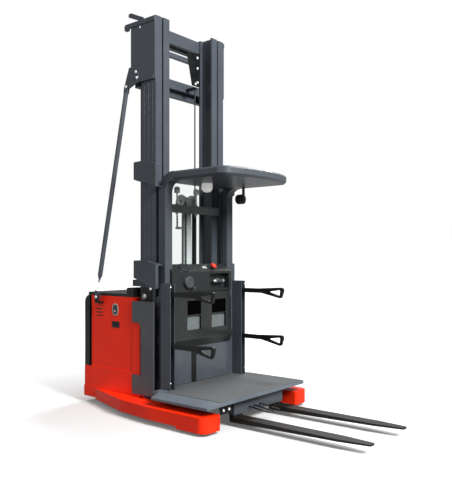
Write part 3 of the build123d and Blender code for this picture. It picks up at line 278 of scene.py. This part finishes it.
plastics = {
    # Black grained ABS of trims and slots: matt, greyer where it is rubbed.
    "grainedAbs": dict(colour="#1D1E20", shade="#26272A", grainMm=1.6, grain=0.35, rough=0.5, edge=0.003),
    # Console shell of the same plastic, finer in grain.
    "consoleAbs": dict(colour="#1F2222", shade="#1B1E1E", grainMm=1.4, grain=0.3, rough=0.45, edge=0.004),
    # Grey ABS of knobs and pockets, polished by hands.
    "knobAbs": dict(colour="#3A3E40", shade="#34383A", grainMm=1.2, grain=0.2, rough=0.4, edge=0.002),
    # Red ABS of the stop switch: smooth and shiny.
    "stopRed": dict(colour="#C22A1B", shade="#B12618", grainMm=1.2, grain=0.1, rough=0.3, edge=0.002),
    # Extruded rubber of the hose: black and dull.
    "hoseRubber": dict(colour="#1A1A1B", shade="#232324", grainMm=1.0, grain=0.3, rough=0.55, edge=0.001),
    # Pebbled rubber sheet of the platform: grey, rough, with no shine.
    "matRubber": dict(colour="#4C4E4F", shade="#464849", grainMm=3.0, grain=0.8, rough=0.7, edge=0.002),
    # Cast polyurethane of the treads: dark brown.
    "polyTread": dict(colour="#2B2724", shade="#37322D", grainMm=2.0, grain=0.2, rough=0.5, edge=0.002),
    # Black rubber seal in the hood's pocket.
    "blackRubber": dict(colour="#141415", shade="#1C1C1D", grainMm=2.0, grain=0.3, rough=0.6, edge=0.002),
}

# Panes and lamp

sheetShine = dict(rough=0.04, blend=0.12)


def clearPane(name, look):
    # Polycarbonate sheet: light goes straight through, tinted, and the shine is strongest at a low angle.
    finish, tree = newFinish(name)
    clear = addNode(tree, "ShaderNodeBsdfTransparent", {"Color": linear(look["tint"])})
    gloss = addNode(tree, "ShaderNodeBsdfGlossy",
                    {"Color": linear(look["shine"]), "Roughness": sheetShine["rough"]})
    glance = addNode(tree, "ShaderNodeLayerWeight", {"Blend": sheetShine["blend"]})
    side = addNode(tree, "ShaderNodeNewGeometry")
    front = addNode(tree, "ShaderNodeMath", {"operation": "SUBTRACT", 0: 1.0}, {1: (side, "Backfacing")})
    share = addNode(tree, "ShaderNodeMath", {"operation": "MULTIPLY"},
                    {0: (glance, "Fresnel"), 1: (front, 0)})
    mix = addNode(tree, "ShaderNodeMixShader", {}, {0: (share, 0), 1: (clear, 0), 2: (gloss, 0)})
    outputOf(tree, mix)
    return finish


panes = {
    # Clear polycarbonate of the windows, with a hint of grey.
    "clearPolycarbonate": dict(tint="#F9FBFA", shine="#E8ECEC"),
    # Smoked polycarbonate before the lower panel's upper openings, nearly black, as painted shade of the deep
    # interior behind them.
    "shadeSmokedPolycarbonate": dict(tint="#3C4042", shine="#B8BCBC"),
}
diffusers = {
    # Opal acrylic of the dome and the work lamp: milky white, with a painted glow that makes it bright though
    # the lamp is off.
    "opalAcrylic": dict(colour="#F2F2EF", glow=0.35, ribMm=4, rib=0.1, depth=0.0003, rough=0.3, milk=0.2),
}


def litDiffuser(name, look):
    # Opal acrylic over a lamp that is off: white, waxy, faintly ribbed, and glowing with painted light.
    finish, tree = newFinish(name)
    ribs = noiseAt(tree, look["ribMm"], 1.0)
    bump = addNode(tree, "ShaderNodeBump", {"Strength": look["rib"], "Distance": look["depth"]},
                   {"Height": (ribs, "Fac")})
    # The emission is painted light: the lamp is off, and the glow only makes the opal brighter.
    shader = addNode(tree, "ShaderNodeBsdfPrincipled",
                     {"Base Color": linear(look["colour"]), "Roughness": look["rough"],
                      "Subsurface Weight": look["milk"], "Emission Color": linear(look["colour"]),
                      "Emission Strength": look["glow"]}, {"Normal": (bump, 0)})
    outputOf(tree, shader)
    return finish


finishes = {}
for make, looks in ((coatedSteel, coats), (bareMetal, metals), (mouldedPlastic, plastics), (clearPane, panes),
                    (litDiffuser, diffusers)):
    finishes.update({name: make(name, look) for name, look in looks.items()})
print("finishes made", len(finishes))

# Which finish each material slot of the record gets
slotFinish = {
    "red_paint": "redPowderCoat", "mast_grey": "slatePowderCoat", "cab_grey": "cabPowderCoat",
    "stay_grey": "stayPowderCoat", "bare_steel": "turnedSteel", "black_paint": "blackPowderCoat",
    "battery_case": "batterySteel", "motor_grey": "castIron", "black_plastic": "grainedAbs",
    "cast_grey": "castIron", "drive_tread": "polyTread", "wheel_tread": "polyTread",
    "chrome_rod": "groundChrome", "cylinder_grey": "cylinderEnamel", "chain_steel": "oiledChain",
    "hose_rubber": "hoseRubber", "lamp_white": "opalAcrylic", "console_black": "consoleAbs",
    "control_grey": "knobAbs", "panel_grey": "panelEnamel", "clear_glass": "clearPolycarbonate",
    "floor_mat": "matRubber", "fork_black": "forkEnamel", "arm_black": "blackPowderCoat",
}
# Nodes whose own finish differs a little from the others of their slot
nodeFinish = {"mast_side_covers": "coverPowderCoat", "floor": "deckEnamel"}
for part in frame["record"]["subparts"]:
    node = frame["nodes"][part["node"]]
    node.data.materials.clear()
    node.data.materials.append(finishes[nodeFinish.get(part["node"], slotFinish[part["material_slot"]])])
print("CAD nodes painted", len(frame["nodes"]))


# Surfaces worked out with numpy. A shape is its points and a list of arrays of faces, each array with one
# count of corners.

def newMesh(name, shape, finish):
    points, faces = shape
    mesh = bpy.data.meshes.new(name)
    mesh.from_pydata(points.tolist(), [], [face for group in faces for face in group.tolist()])
    mesh.validate()
    mesh.materials.append(finish)
    return mesh


def meshPiece(name, shape, finish, body, smooth=False):
    # A piece that rides on the body; with no body it is left free of any body.
    mesh = newMesh(name, shape, finishes[finish])
    if smooth:
        mesh.shade_smooth()
    piece = bpy.data.objects.new(name, mesh)
    bpy.context.scene.collection.objects.link(piece)
    if body:
        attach(piece, body)
    return piece


def ringStack(rings):
    # Rings of points, one above the other, joined by quads and closed by a flat face at each end.
    rings = np.asarray(rings, float)
    levels, around = rings.shape[:2]
    row = np.arange(levels - 1)[:, None] * around
    col = np.arange(around)[None, :]
    nxt = (col + 1) % around
    quads = np.stack([row + col, row + nxt, row + around + nxt, row + around + col], -1).reshape(-1, 4)
    ends = np.stack([np.arange(around)[::-1], np.arange(around) + (levels - 1) * around])
    return rings.reshape(-1, 3), [quads, ends]


def polar(radius, angle, height):
    # Points at r cos a, r sin a and the height, where the three stretch to one grid.
    radius, angle, height = np.broadcast_arrays(radius, angle, height)
    return np.stack([radius * np.cos(angle), radius * np.sin(angle), height], -1)


def turned(profile, around=24):
    # A surface of revolution about local Z: each (radius, height) of the profile goes round a circle.
    angle = np.linspace(0, 2 * np.pi, around, endpoint=False)
    radius, height = np.asarray(profile, float).T
    return ringStack(polar(radius[:, None], angle, height[:, None]))


def threaded(radius, pitch, depth, length, around=18):
    # A screw thread: radius minus depth times the triangle wave of height / pitch - angle / 2 pi.
    height = np.arange(0, length, pitch / 4)[:, None]
    angle = np.linspace(0, 2 * np.pi, around, endpoint=False)
    turns = height / pitch - angle / (2 * np.pi)
    return ringStack(polar(radius - depth * np.abs(2 * (turns % 1) - 1), angle, height))


def hexBolt(size, head, washer):
    # A hexagon head on a round washer, its top corners turned down. The hexagon's radius is its half width
    # over the cosine of the angle from the middle of the nearest side.
    angle = np.linspace(0, 2 * np.pi, 24, endpoint=False)
    sixth = np.pi / 3
    hexagon = size * 0.95 / np.cos((angle + sixth / 2) % sixth - sixth / 2)
    disc = np.full(24, washer)
    height = head * np.array([0, 0.22, 0.22, 0.9, 1])
    return ringStack(polar(np.stack([disc, disc, hexagon, hexagon, hexagon * 0.86]), angle, height[:, None]))


def plateShape(along, across, corner, thick, bevel):
    # A plate with round corners. Each outline point is a corner's centre plus r (cos a, sin a), and the front
    # edge is turned in by the bevel.
    angle = np.linspace(0, 2 * np.pi, 40, endpoint=False) + np.pi / 40
    way = np.stack([np.cos(angle), np.sin(angle)], -1)
    inset = bevel * np.array([0, 0, 0.3, 1])
    height = np.array([0, thick - bevel, thick - bevel * 0.3, thick])
    centre = np.sign(way) * (np.array([along, across]) / 2 - corner)
    flat = centre + way * (corner - inset)[:, None, None]
    return ringStack(np.concatenate([flat, np.broadcast_to(height[:, None, None], (4, 40, 1))], -1))


def plateOf(look):
    return plateShape(look["along"], look["across"], look["corner"], look["thick"], look["bevel"])


def placed(shape, spots, axis="z"):
    # Copies of one shape with its local Z along the named axis, one at each spot. A minus turns it back.
    turns = {"z": np.eye(3), "x": np.array([[0, 0, 1], [1, 0, 0], [0, 1, 0]], float),
             "y": np.array([[0, 1, 0], [0, 0, 1], [1, 0, 0]], float)}
    points, faces = shape
    if axis.startswith("-"):
        points, faces = points * [1, 1, -1], [group[:, ::-1] for group in faces]
    every = np.asarray(spots, float)[:, None] + points @ turns[axis[-1]].T
    shift = len(points) * np.arange(len(spots))[:, None, None]
    return every.reshape(-1, 3), [(group + shift).reshape(-1, group.shape[1]) for group in faces]


def facing(shape, place, normal, across=(0, 1, 0)):
    # One shape with its local Z along the normal and its local Y as near to "across" as it can lie.
    points, faces = shape
    w = np.array(normal, float) / np.linalg.norm(normal)
    v = np.array(across, float) - w * np.dot(across, w)
    v /= np.linalg.norm(v)
    return points @ np.stack([np.cross(v, w), v, w]) + np.array(place), faces


def together(*shapes):
    # Several shapes as one set of points and faces.
    starts = np.cumsum([0] + [len(points) for points, faces in shapes])
    faces = [group + start for (points, groups), start in zip(shapes, starts) for group in groups]
    return np.concatenate([points for points, groups in shapes]), faces


def spot(x, y, z):
    # A place in millimetres, with x from the mast's front face, as metres in the model's frame.
    return [mast + x / 1000, y / 1000, z / 1000]


def plates(looks):
    # One plate for each entry: along and across in metres, its middle in millimetres, the axis that it faces.
    for name, look in looks.items():
        plate = placed(plateOf(look), [spot(*look["middle"])], look["axis"])
        meshPiece(name, plate, look["finish"], look["body"])


def bolts(name, look):
    # Hexagon bolts at rows of (x, y, z, axis) in millimetres.
    head = hexBolt(look["size"], look["head"], look["washer"])
    heads = [placed(head, [spot(*row[:3])], row[3]) for row in look["rows"]]
    meshPiece(name, together(*heads), "zincPlate", look["body"])


# Rubber mat on the deck

matLook = dict(low=256.2, thick=0.0038, edge=0.0015, drawnIn=0.9975,
               corners=[(137, -464), (242, -464), (242, -598), (860, -598),
                        (860, 598), (242, 598), (242, 464), (137, 464)])
outline = np.array([spot(x, y, matLook["low"]) for x, y in matLook["corners"]])
middle = outline.mean(0)
matRings = [outline, outline + [0, 0, matLook["thick"] - matLook["edge"]],
            middle + (outline - middle) * matLook["drawnIn"] + [0, 0, matLook["thick"]]]
meshPiece("deckMat", ringStack(matRings), "matRubber", "cab")
print("mat laid")

# Bolts on the chassis and mast, on the cab, and on the inner mast's hose guide

boltSets = {
    "truckBolts": dict(body="truck", size=0.0095, head=0.007, washer=0.0135, rows=[
        (-235, -497, 3108, "-y"), (-222, -497, 3052, "-y"), (-361, -505.3, 2990, "-y"),
        (-695, -584.3, 1035, "-y"), (-62, -479, 1126, "-y"), (-62, 479, 1126, "y")]),
    "cabBolts": dict(body="cab", size=0.0055, head=0.004, washer=0.0075, rows=[
        (236, -524, 1150, "x"), (236, 524, 1150, "x"), (236, -524, 320, "x"), (236, 524, 320, "x")]),
    "mastBolts": dict(body="inner_mast", size=0.008, head=0.008, washer=0.012, rows=[
        (-158, 262, 3160, "x"), (-158, 234, 3140, "x"), (-158, 262, 3300, "x"), (-158, 262, 3405, "x")]),
}
for name, look in boltSets.items():
    bolts(name, look)
print("bolts set")

# Stay rod's threaded stub between the rod and the lower fork, with a lock nut at each end

stayLook = dict(low=(-695, -570, 1035), top=(-361, -491, 2990), radius=0.0102, pitch=0.004, depth=0.0012,
                start=0.056, length=0.106, nut=0.016, nutHeight=0.014, washer=0.0176, nuts=(0.058, 0.162))
low, top = np.array(spot(*stayLook["low"])), np.array(spot(*stayLook["top"]))
alongStay = (top - low) / np.linalg.norm(top - low)
stub = threaded(stayLook["radius"], stayLook["pitch"], stayLook["depth"], stayLook["length"])
lockNut = hexBolt(stayLook["nut"], stayLook["nutHeight"], stayLook["washer"])
meshPiece("stayThread", together(facing(stub, low + alongStay * stayLook["start"], alongStay),
                                 facing(lockNut, low + alongStay * stayLook["nuts"][0], alongStay),
                                 facing(lockNut, low + alongStay * stayLook["nuts"][1], -alongStay)),
          "zincPlate", "truck", smooth=True)

# Hood's right side: seams of the key plate, the key, the black pocket and the vents

hoodLook = dict(y=-518, softest=1.5, rows=[
    # x, z, width, height, corner, thick in millimetres, finish, slot
    (-491, 945, 70, 92, 2, 1.0, "redPowderCoat", "red_paint"),
    (-491, 840, 70, 62, 2, 1.0, "redPowderCoat", "red_paint"),
    (-612.5, 946, 66, 60, 2, 1.0, "redPowderCoat", "red_paint"),
    (-491, 921, 84, 116, 41, 3.5, "keyEnamel", "control_grey"),
    (-491, 921, 60, 92, 29, 4.5, "knobAbs", "control_grey"),
    (-486, 781, 104, 60, 5, 2.5, "grainedAbs", "black_plastic"),
    (-486, 785, 84, 44, 3, 3.2, "blackRubber", "black_plastic"),
    (-486, 763, 84, 9, 3, 4.0, "knobAbs", "control_grey"),
    (-722, 917, 92, 10, 4, 1.5, "grainedAbs", "black_plastic"),
    (-722, 886, 92, 10, 4, 1.5, "grainedAbs", "black_plastic"),
    (-722, 855, 92, 10, 4, 1.5, "grainedAbs", "black_plastic"),
])
for number, (x, z, width, height, corner, thick, finish, slotName) in enumerate(hoodLook["rows"]):
    shape = plateShape(height / 1000, width / 1000, corner / 1000, thick / 1000,
                       min(thick, hoodLook["softest"]) / 2000)
    meshPiece(f"hoodPlate{number}", placed(shape, [spot(x, hoodLook["y"], z)], "-y"), finish, "truck")

keyLook = dict(middle=(-491, -522.5, 905),
               profile=[(0.010, 0), (0.010, 0.006), (0.009, 0.007), (0.003, 0.007), (0.003, 0.005)])
meshPiece("keyBarrel", placed(turned(keyLook["profile"]), [spot(*keyLook["middle"])], "-y"), "turnedSteel",
          "truck", smooth=True)
print("hood dressed")

# Mast bracket with its bright disc above the side cover

bracketLook = dict(x=-105, z=1070, out=473, along=0.125, across=0.120, corner=0.012, thick=0.006, bevel=0.001)
discLook = dict(x=-137, z=1054, out=479, around=36,
                profile=[(0.0265, 0), (0.0265, 0.008), (0.0245, 0.010), (0.012, 0.010), (0.011, 0.013),
                         (0.004, 0.013)])
bracket = plateOf(bracketLook)
disc = turned(discLook["profile"], discLook["around"])
sides = {"right": (-1, "-y"), "left": (1, "y")}
for side, (sign, axis) in sides.items():
    bracketSpot = spot(bracketLook["x"], sign * bracketLook["out"], bracketLook["z"])
    discSpot = spot(discLook["x"], sign * discLook["out"], discLook["z"])
    meshPiece(side + "MastBracket", placed(bracket, [bracketSpot], axis), "blackPowderCoat", "truck")
    meshPiece(side + "MastDisc", placed(disc, [discSpot], axis), "turnedSteel", "truck",
              smooth=True)

# Kick panel's rib and seam

plates({
    "kickRib": dict(along=0.062, across=0.318, corner=0.004, thick=0.007, bevel=0.002,
                    middle=(136, -119, 424), axis="x", finish="blackPowderCoat", body="cab",
                    slot="panel_grey"),
    "kickSeam": dict(along=0.004, across=0.318, corner=0.001, thick=0.0006, bevel=0.0002,
                     middle=(136, 88, 424), axis="x", finish="grainedAbs", body="cab", slot="black_plastic"),
})
print("mast and kick panel dressed")

# Rear corners: black trim above and red skirt below, nearly square where the sheet is folded

capLook = {
    "trim": dict(x=-946, y=526, reach=110, fold=20, low=361, high=1046, rounded=70,
                 finish="grainedAbs", slot="black_plastic"),
    "skirt": dict(x=-945.6, y=525.6, reach=90, fold=14, low=159, high=360.5, rounded=5,
                  finish="redPowderCoat", slot="red_paint"),
    "foot": dict(x=-950, y=530.6, reach=92, fold=14, low=61, high=160.5, rounded=4,
                 finish="redPowderCoat", slot="red_paint"),
}


def cornerCap(look, sign):
    # A post with a folded corner: the outline is a straight, a quarter circle and a straight, closed by a
    # chord inside the body. At the top it draws in along a quarter circle too, as a rolled edge does.
    turn = np.linspace(0, np.pi / 2, 9)
    x = np.concatenate([[look["reach"]], look["fold"] * (1 - np.sin(turn)), [0]])
    y = np.concatenate([[0], look["fold"] * (1 - np.cos(turn)), [look["reach"]]])
    straight = look["high"] - look["low"] - look["rounded"]
    up = np.concatenate([[0], straight + look["rounded"] * np.sin(turn)])[:, None]
    draw = np.concatenate([[0], look["rounded"] * (1 - np.cos(turn))])[:, None]
    inward = np.minimum(x + draw * (x < look["reach"]), look["reach"])
    rings = np.broadcast_arrays(mast * 1000 + look["x"] + inward, y - look["y"], look["low"] + up)
    points, faces = ringStack(np.stack(rings, -1) / 1000)
    if sign > 0:
        return points * [1, -1, 1], faces
    return points, [group[:, ::-1] for group in faces]


for name, look in capLook.items():
    caps = [cornerCap(look, side[0]) for side in sides.values()]
    meshPiece(name + "Corners", together(*caps), look["finish"], "truck")
print("corners folded")

# Ribs rolled into the outer rails' sides

ribLook = dict(x=(-152, -96, -40), out=473, low=1160, high=2980, width=0.009, corner=0.004, thick=0.0022,
               bevel=0.0008)
rolled = plateShape((ribLook["high"] - ribLook["low"]) / 1000, ribLook["width"], ribLook["corner"],
                    ribLook["thick"], ribLook["bevel"])
ribMiddle = (ribLook["high"] + ribLook["low"]) / 2
for side, (sign, axis) in sides.items():
    ribSpots = [spot(x, sign * ribLook["out"], ribMiddle) for x in ribLook["x"]]
    meshPiece(side + "RailRibs", placed(rolled, ribSpots, axis), "slatePowderCoat", "truck")

# Crossbar of the carriage behind the window, and the channel that carries the pipes

barLook = dict(middle=(10, 0, 1860), along=0.72, across=0.075, corner=0.006, thick=0.028, bevel=0.003)
carriageBar = facing(plateOf(barLook), spot(*barLook["middle"]), (1, 0, 0), (0, 0, 1))
meshPiece("carriageBar", carriageBar, "sheetSteel", "cab")
plates({
    "pipeChannel": dict(along=0.050, across=0.905, corner=0.003, thick=0.006, bevel=0.001,
                        middle=(-84, 122, 1407), axis="x", finish="blackPowderCoat", body="inner_mast",
                        slot="black_paint"),
})

# Two chain anchors on that crossbar: threaded rods with lock nuts and clevises

anchorLook = dict(x=26, low=1795, places=(-225, 37), length=0.23, radius=0.008, pitch=0.0025, depth=0.0011,
                  nut=0.013, nutHeight=0.014, washer=0.017, nutsUp=(1898, 1916), nutDown=1822, clevisLow=2002,
                  clevis=[(0.006, 0), (0.024, 0.002), (0.027, 0.010), (0.027, 0.046), (0.022, 0.056),
                          (0.007, 0.062)])
anchorRod = threaded(anchorLook["radius"], anchorLook["pitch"], anchorLook["depth"], anchorLook["length"])
clevis = turned(anchorLook["clevis"])
anchorNut = hexBolt(anchorLook["nut"], anchorLook["nutHeight"], anchorLook["washer"])
up, down = (0, 0, 1), (0, 0, -1)
anchors = []
for y in anchorLook["places"]:
    stack = [(anchorRod, anchorLook["low"], up)] + [(anchorNut, z, up) for z in anchorLook["nutsUp"]]
    stack += [(anchorNut, anchorLook["nutDown"], down), (clevis, anchorLook["clevisLow"], up)]
    anchors += [facing(shape, spot(anchorLook["x"], y, z), way) for shape, z, way in stack]
meshPiece("chainAnchors", together(*anchors), "zincPlate", "cab", smooth=True)
print("anchors set")

# Leaf chains over the head's sheaves: laced link plates on riveted pins

chainLook = dict(pitch=0.0158, height=0.0118, plate=0.0022, gap=0.0026, pin=0.0029, pinLength=0.015,
                 rivet=0.0006, rows=5, across=70)
frontRun = dict(x=-9, low=760, high=1945)
rearRun = dict(x=-121, low=1700, high=1945)


def leafStrand(look, run, y):
    # A link plate's outline is a long oval, (pitch + height) / 2 times cos t by height / 2 times
    # |sin t| ^ 0.6, drawn in at the waist by a bell curve. Plates of odd and even rows are laced half a pitch
    # apart.
    t = np.linspace(0, 2 * np.pi, 20, endpoint=False)
    along = (look["pitch"] + look["height"]) / 2 * np.cos(t)
    waist = 1 - 0.22 * np.exp(-(along / (0.28 * look["pitch"])) ** 2)
    across = look["height"] / 2 * np.sign(np.sin(t)) * np.abs(np.sin(t)) ** 0.6 * waist
    level = np.array([[0], [look["plate"]]])
    plate = ringStack(np.stack(np.broadcast_arrays(along, across, level), -1))
    end = look["pin"] * 0.7
    pin = turned([(end, 0), (look["pin"], look["rivet"]), (look["pin"], look["pinLength"] - look["rivet"]),
                  (end, look["pinLength"])], 10)
    pitch = look["pitch"] * 1000
    count = int((run["high"] - run["low"] - look["height"] * 1000) / pitch)
    places = run["low"] + look["height"] * 500 + pitch * np.arange(count + 1)
    parts = [placed(pin, [spot(run["x"], y - look["pinLength"] * 500, z) for z in places], "y")]
    firstRow = y - (look["gap"] * (look["rows"] - 1) + look["plate"]) * 500
    for row in range(look["rows"]):
        links = places[row % 2:-1:2] + pitch / 2
        rowY = firstRow + row * look["gap"] * 1000
        parts.append(placed(plate, [spot(run["x"], rowY, z) for z in links], "y"))
    return together(*parts)


chainPieces = {}
for name, run, body in (("frontStrands", frontRun, "cab"), ("rearStrands", rearRun, None)):
    strands = [leafStrand(chainLook, run, side[0] * chainLook["across"]) for side in sides.values()]
    chainPieces[name] = meshPiece(name, together(*strands), "oiledChain", body)
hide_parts("front_chains")
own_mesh(chainPieces["frontStrands"])
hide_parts("rear_chains")
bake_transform(chainPieces["rearStrands"])
print("chains laced")

# Supply hose in its spiral guard, from the cab up to the inner mast's guide plate

hoseLook = dict(low=(-65, 120, 1000), length=2.038, radius=0.007, pitch=0.016, depth=0.0009, around=14)
spiral = threaded(hoseLook["radius"], hoseLook["pitch"], hoseLook["depth"], hoseLook["length"],
                  hoseLook["around"])
hosePiece = meshPiece("hoseGuard", placed(spiral, [spot(*hoseLook["low"])]), "hoseRubber", "cab",
                      smooth=True)
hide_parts("hose")
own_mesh(hosePiece)

# Console: the travel grip in its recess, a dish and a light switch on the slope, a red cap on the stop switch

slopeNormal = (70, 0, 72)
gripLook = dict(grip=(136, 240, 1184), boss=(98, 240, 1184), around=28,
                gripProfile=[(0.004, -0.078), (0.013, -0.074), (0.017, -0.055), (0.013, -0.026),
                             (0.009, -0.012), (0.009, 0.012), (0.013, 0.026), (0.017, 0.055), (0.013, 0.074),
                             (0.004, 0.078)],
                bossProfile=[(0.021, 0), (0.021, 0.030), (0.016, 0.038), (0.006, 0.040)])
grip = turned(gripLook["gripProfile"], gripLook["around"])
boss = turned(gripLook["bossProfile"], gripLook["around"])
meshPiece("travelGrip", together(facing(grip, spot(*gripLook["grip"]), (0, 1, 0), (0, 0, 1)),
                                 facing(boss, spot(*gripLook["boss"]), (1, 0, 0))),
          "turnedSteel", "cab", smooth=True)

faceLook = dict(middle=(180, -214, 1182), around=48,
                profile=[(0.050, 0), (0.050, 0.0025), (0.044, 0.0035), (0.040, 0.0015), (0.010, 0.0010)])
knobFace = turned(faceLook["profile"], faceLook["around"])
meshPiece("knobFace", placed(knobFace, [spot(*faceLook["middle"])], "x"), "knobAbs", "cab",
          smooth=True)

dishLook = dict(middle=(114, -232, 1313), around=40,
                profile=[(0.052, 0), (0.052, 0.006), (0.046, 0.010), (0.036, 0.006), (0.012, 0.004)])
dish = turned(dishLook["profile"], dishLook["around"])
meshPiece("controlDish", facing(dish, spot(*dishLook["middle"]), slopeNormal), "grainedAbs", "cab",
          smooth=True)

stopLook = dict(middle=(124, 171, 1322), around=32,
                profile=[(0.024, 0), (0.024, 0.006), (0.030, 0.008), (0.031, 0.016), (0.026, 0.022),
                         (0.012, 0.025)])
cap = turned(stopLook["profile"], stopLook["around"])
meshPiece("stopCap", facing(cap, spot(*stopLook["middle"]), slopeNormal), "stopRed", "cab",
          smooth=True)

switchLook = dict(middle=(115, 51, 1312), along=0.030, across=0.056, corner=0.004, thick=0.008, bevel=0.002)
lightSwitch = facing(plateOf(switchLook), spot(*switchLook["middle"]), slopeNormal)
meshPiece("lightSwitch", lightSwitch, "blankGrey", "cab")
print("console dressed")

# Kick plate of satin grey sheet

plates({
    "kickPlate": dict(along=0.826, across=0.322, corner=0.003, thick=0.0012, bevel=0.0005,
                      middle=(136, 0, 424), axis="x", finish="kickEnamel", body="cab", slot="panel_grey"),
})

# Smoked sheet over the lower panel's upper panes, nearly black as painted shade of the interior behind, and
# steel shields behind the lower ones

paneLook = dict(rows=[(-124, 0.188), (228.5, 0.211)], corner=0.003, thick=0.002, bevel=0.0005)
paneSets = {
    "smokedShadePanes": dict(x=139, z=947.5, height=0.129, finish="shadeSmokedPolycarbonate", slot="clear_glass"),
    "paneShields": dict(x=126, z=807.5, height=0.131, finish="sheetSteel", slot="panel_grey"),
}
for name, look in paneSets.items():
    sheets = []
    for y, width in paneLook["rows"]:
        sheet = plateShape(width, look["height"], paneLook["corner"], paneLook["thick"], paneLook["bevel"])
        sheets.append(placed(sheet, [spot(look["x"], y, look["z"])], "x"))
    meshPiece(name, together(*sheets), look["finish"], "cab")

# Under the deck's front: three thin black prongs and a black bracket with bolts, both black as painted shade
# beneath the deck

prongLook = dict(x=798, y=(-150, -80, 0), z=141, way=(1, 0.15, -0.16), around=14,
                 profile=[(0.002, 0), (0.005, 0.003), (0.006, 0.010), (0.006, 0.190), (0.004, 0.200),
                          (0.001, 0.202)])
prong = turned(prongLook["profile"], prongLook["around"])
# The prongs are black as painted shade: they stand for thin dark lines, mostly shade, under the deck's front.
prongRows = [facing(prong, spot(prongLook["x"], y, prongLook["z"]), prongLook["way"]) for y in prongLook["y"]]
meshPiece("darkProngs", together(*prongRows), "blackPowderCoat", "cab", smooth=True)
# The black plate is painted shade: it darkens the light rib beneath the deck's front, where shade falls; the
# bolts on it are bright.
plates({
    "shadeStrap": dict(along=0.150, across=0.060, corner=0.006, thick=0.006, bevel=0.001,
                      middle=(806, -470, 172), axis="x", finish="blackPowderCoat", body="cab",
                      slot="black_paint"),
})
deckBoltLook = dict(body="cab", size=0.009, head=0.007, washer=0.012,
                    rows=[(812, -505, 172, "x"), (812, -435, 172, "x")])
bolts("deckBolts", deckBoltLook)
print("deck dressed")


# Camera and light

cameraLook = dict(place=(mast + 4.020, -4.399, 1.404), heading=39.26, lens=46.19, rise=0.0298)
camera = bpy.data.objects.new("camera", bpy.data.cameras.new("camera"))
bpy.context.scene.collection.objects.link(camera)
camera.location = cameraLook["place"]
camera.rotation_euler = (math.pi / 2, 0, math.radians(cameraLook["heading"]))
camera.data.lens = cameraLook["lens"]
camera.data.shift_y = cameraLook["rise"]
bpy.context.scene.camera = camera
bpy.context.scene.view_settings.view_transform = "Standard"

lampAim = (0.0, 0.0, 1.4)
lamps = {
    "keyPanel": dict(place=(6.4, -1.2, 5.4), size=2.6, power=1350),
    "sidePanel": dict(place=(-1.0, -7.0, 4.5), size=5.0, power=125),
    "backPanel": dict(place=(-1.5, 4.5, 6.5), size=2.5, power=460),
}
for name, look in lamps.items():
    light = bpy.data.lights.new(name, "AREA")
    light.shape, light.size, light.energy = "SQUARE", look["size"], look["power"]
    lamp = bpy.data.objects.new(name, light)
    bpy.context.scene.collection.objects.link(lamp)
    lamp.location = look["place"]
    away = np.array(look["place"]) - np.array(lampAim)
    tilt = math.acos(away[2] / np.linalg.norm(away))
    lamp.rotation_euler = (tilt, 0, math.atan2(away[1], away[0]) + math.pi / 2)


def paleWorld(light):
    # The world is white where the camera sees it, and lights the truck at a plain level.
    world = bpy.data.worlds.new("paleStudio")
    bpy.context.scene.world = world
    world.use_nodes = True
    tree = world.node_tree
    tree.nodes.clear()
    path = addNode(tree, "ShaderNodeLightPath")
    seen = addNode(tree, "ShaderNodeBackground", {"Color": (1, 1, 1, 1), "Strength": 1.0})
    glow = addNode(tree, "ShaderNodeBackground", {"Color": (1, 1, 1, 1), "Strength": light})
    mix = addNode(tree, "ShaderNodeMixShader", {}, {0: (path, "Is Camera Ray"), 1: (glow, 0), 2: (seen, 0)})
    addNode(tree, "ShaderNodeOutputWorld", {}, {"Surface": (mix, 0)})


roomLight = 0.4
floorLook = dict(reach=40.0, thick=0.02, around=96, whiteFrom=1.6, whiteTo=5.0, near=0.1, far=1.0,
                 mirrored=0.4, lit="#585858", seen="#C8C8C8")


def paleFloor(look):
    # A wide flat disc. Its own white is added only where it is seen, and grows with distance from the truck
    # as on a swept studio floor, so that the shadow stays and the floor meets the backdrop without a line.
    finish, tree = newFinish("paleFloorPaint")
    path = addNode(tree, "ShaderNodeLightPath")
    place = objectCoords(tree, 1000)
    away = addNode(tree, "ShaderNodeVectorMath", {"operation": "LENGTH"}, {0: (place, 0)})
    white = ramp(tree, (away, "Value"), look["whiteFrom"], look["whiteTo"], look["near"], look["far"])
    mirrored = addNode(tree, "ShaderNodeMath", {"operation": "MULTIPLY", 1: look["mirrored"]},
                       {0: (path, "Is Glossy Ray")})
    seen = addNode(tree, "ShaderNodeMath", {"operation": "ADD"},
                   {0: (path, "Is Camera Ray"), 1: (mirrored, 0)})
    seen = addNode(tree, "ShaderNodeMath", {"operation": "ADD", "use_clamp": True},
                   {0: (seen, 0), 1: (path, "Is Transmission Ray")})
    share = addNode(tree, "ShaderNodeMath", {"operation": "MULTIPLY"}, {0: (seen, 0), 1: (white, 0)})
    paint = mixColours(tree, (seen, 0), look["lit"], look["seen"])
    dull = addNode(tree, "ShaderNodeBsdfDiffuse", {}, {"Color": paint})
    glow = addNode(tree, "ShaderNodeEmission", {"Color": (1, 1, 1, 1)}, {"Strength": (share, 0)})
    outputOf(tree, addNode(tree, "ShaderNodeAddShader", {}, {0: (dull, 0), 1: (glow, 0)}))
    disc = turned([(look["reach"], -look["thick"]), (look["reach"], 0)], look["around"])
    floor = bpy.data.objects.new("studioFloor", newMesh("studioFloor", disc, finish))
    bpy.context.scene.collection.objects.link(floor)


paleWorld(roomLight)
paleFloor(floorLook)
print("camera and light set")
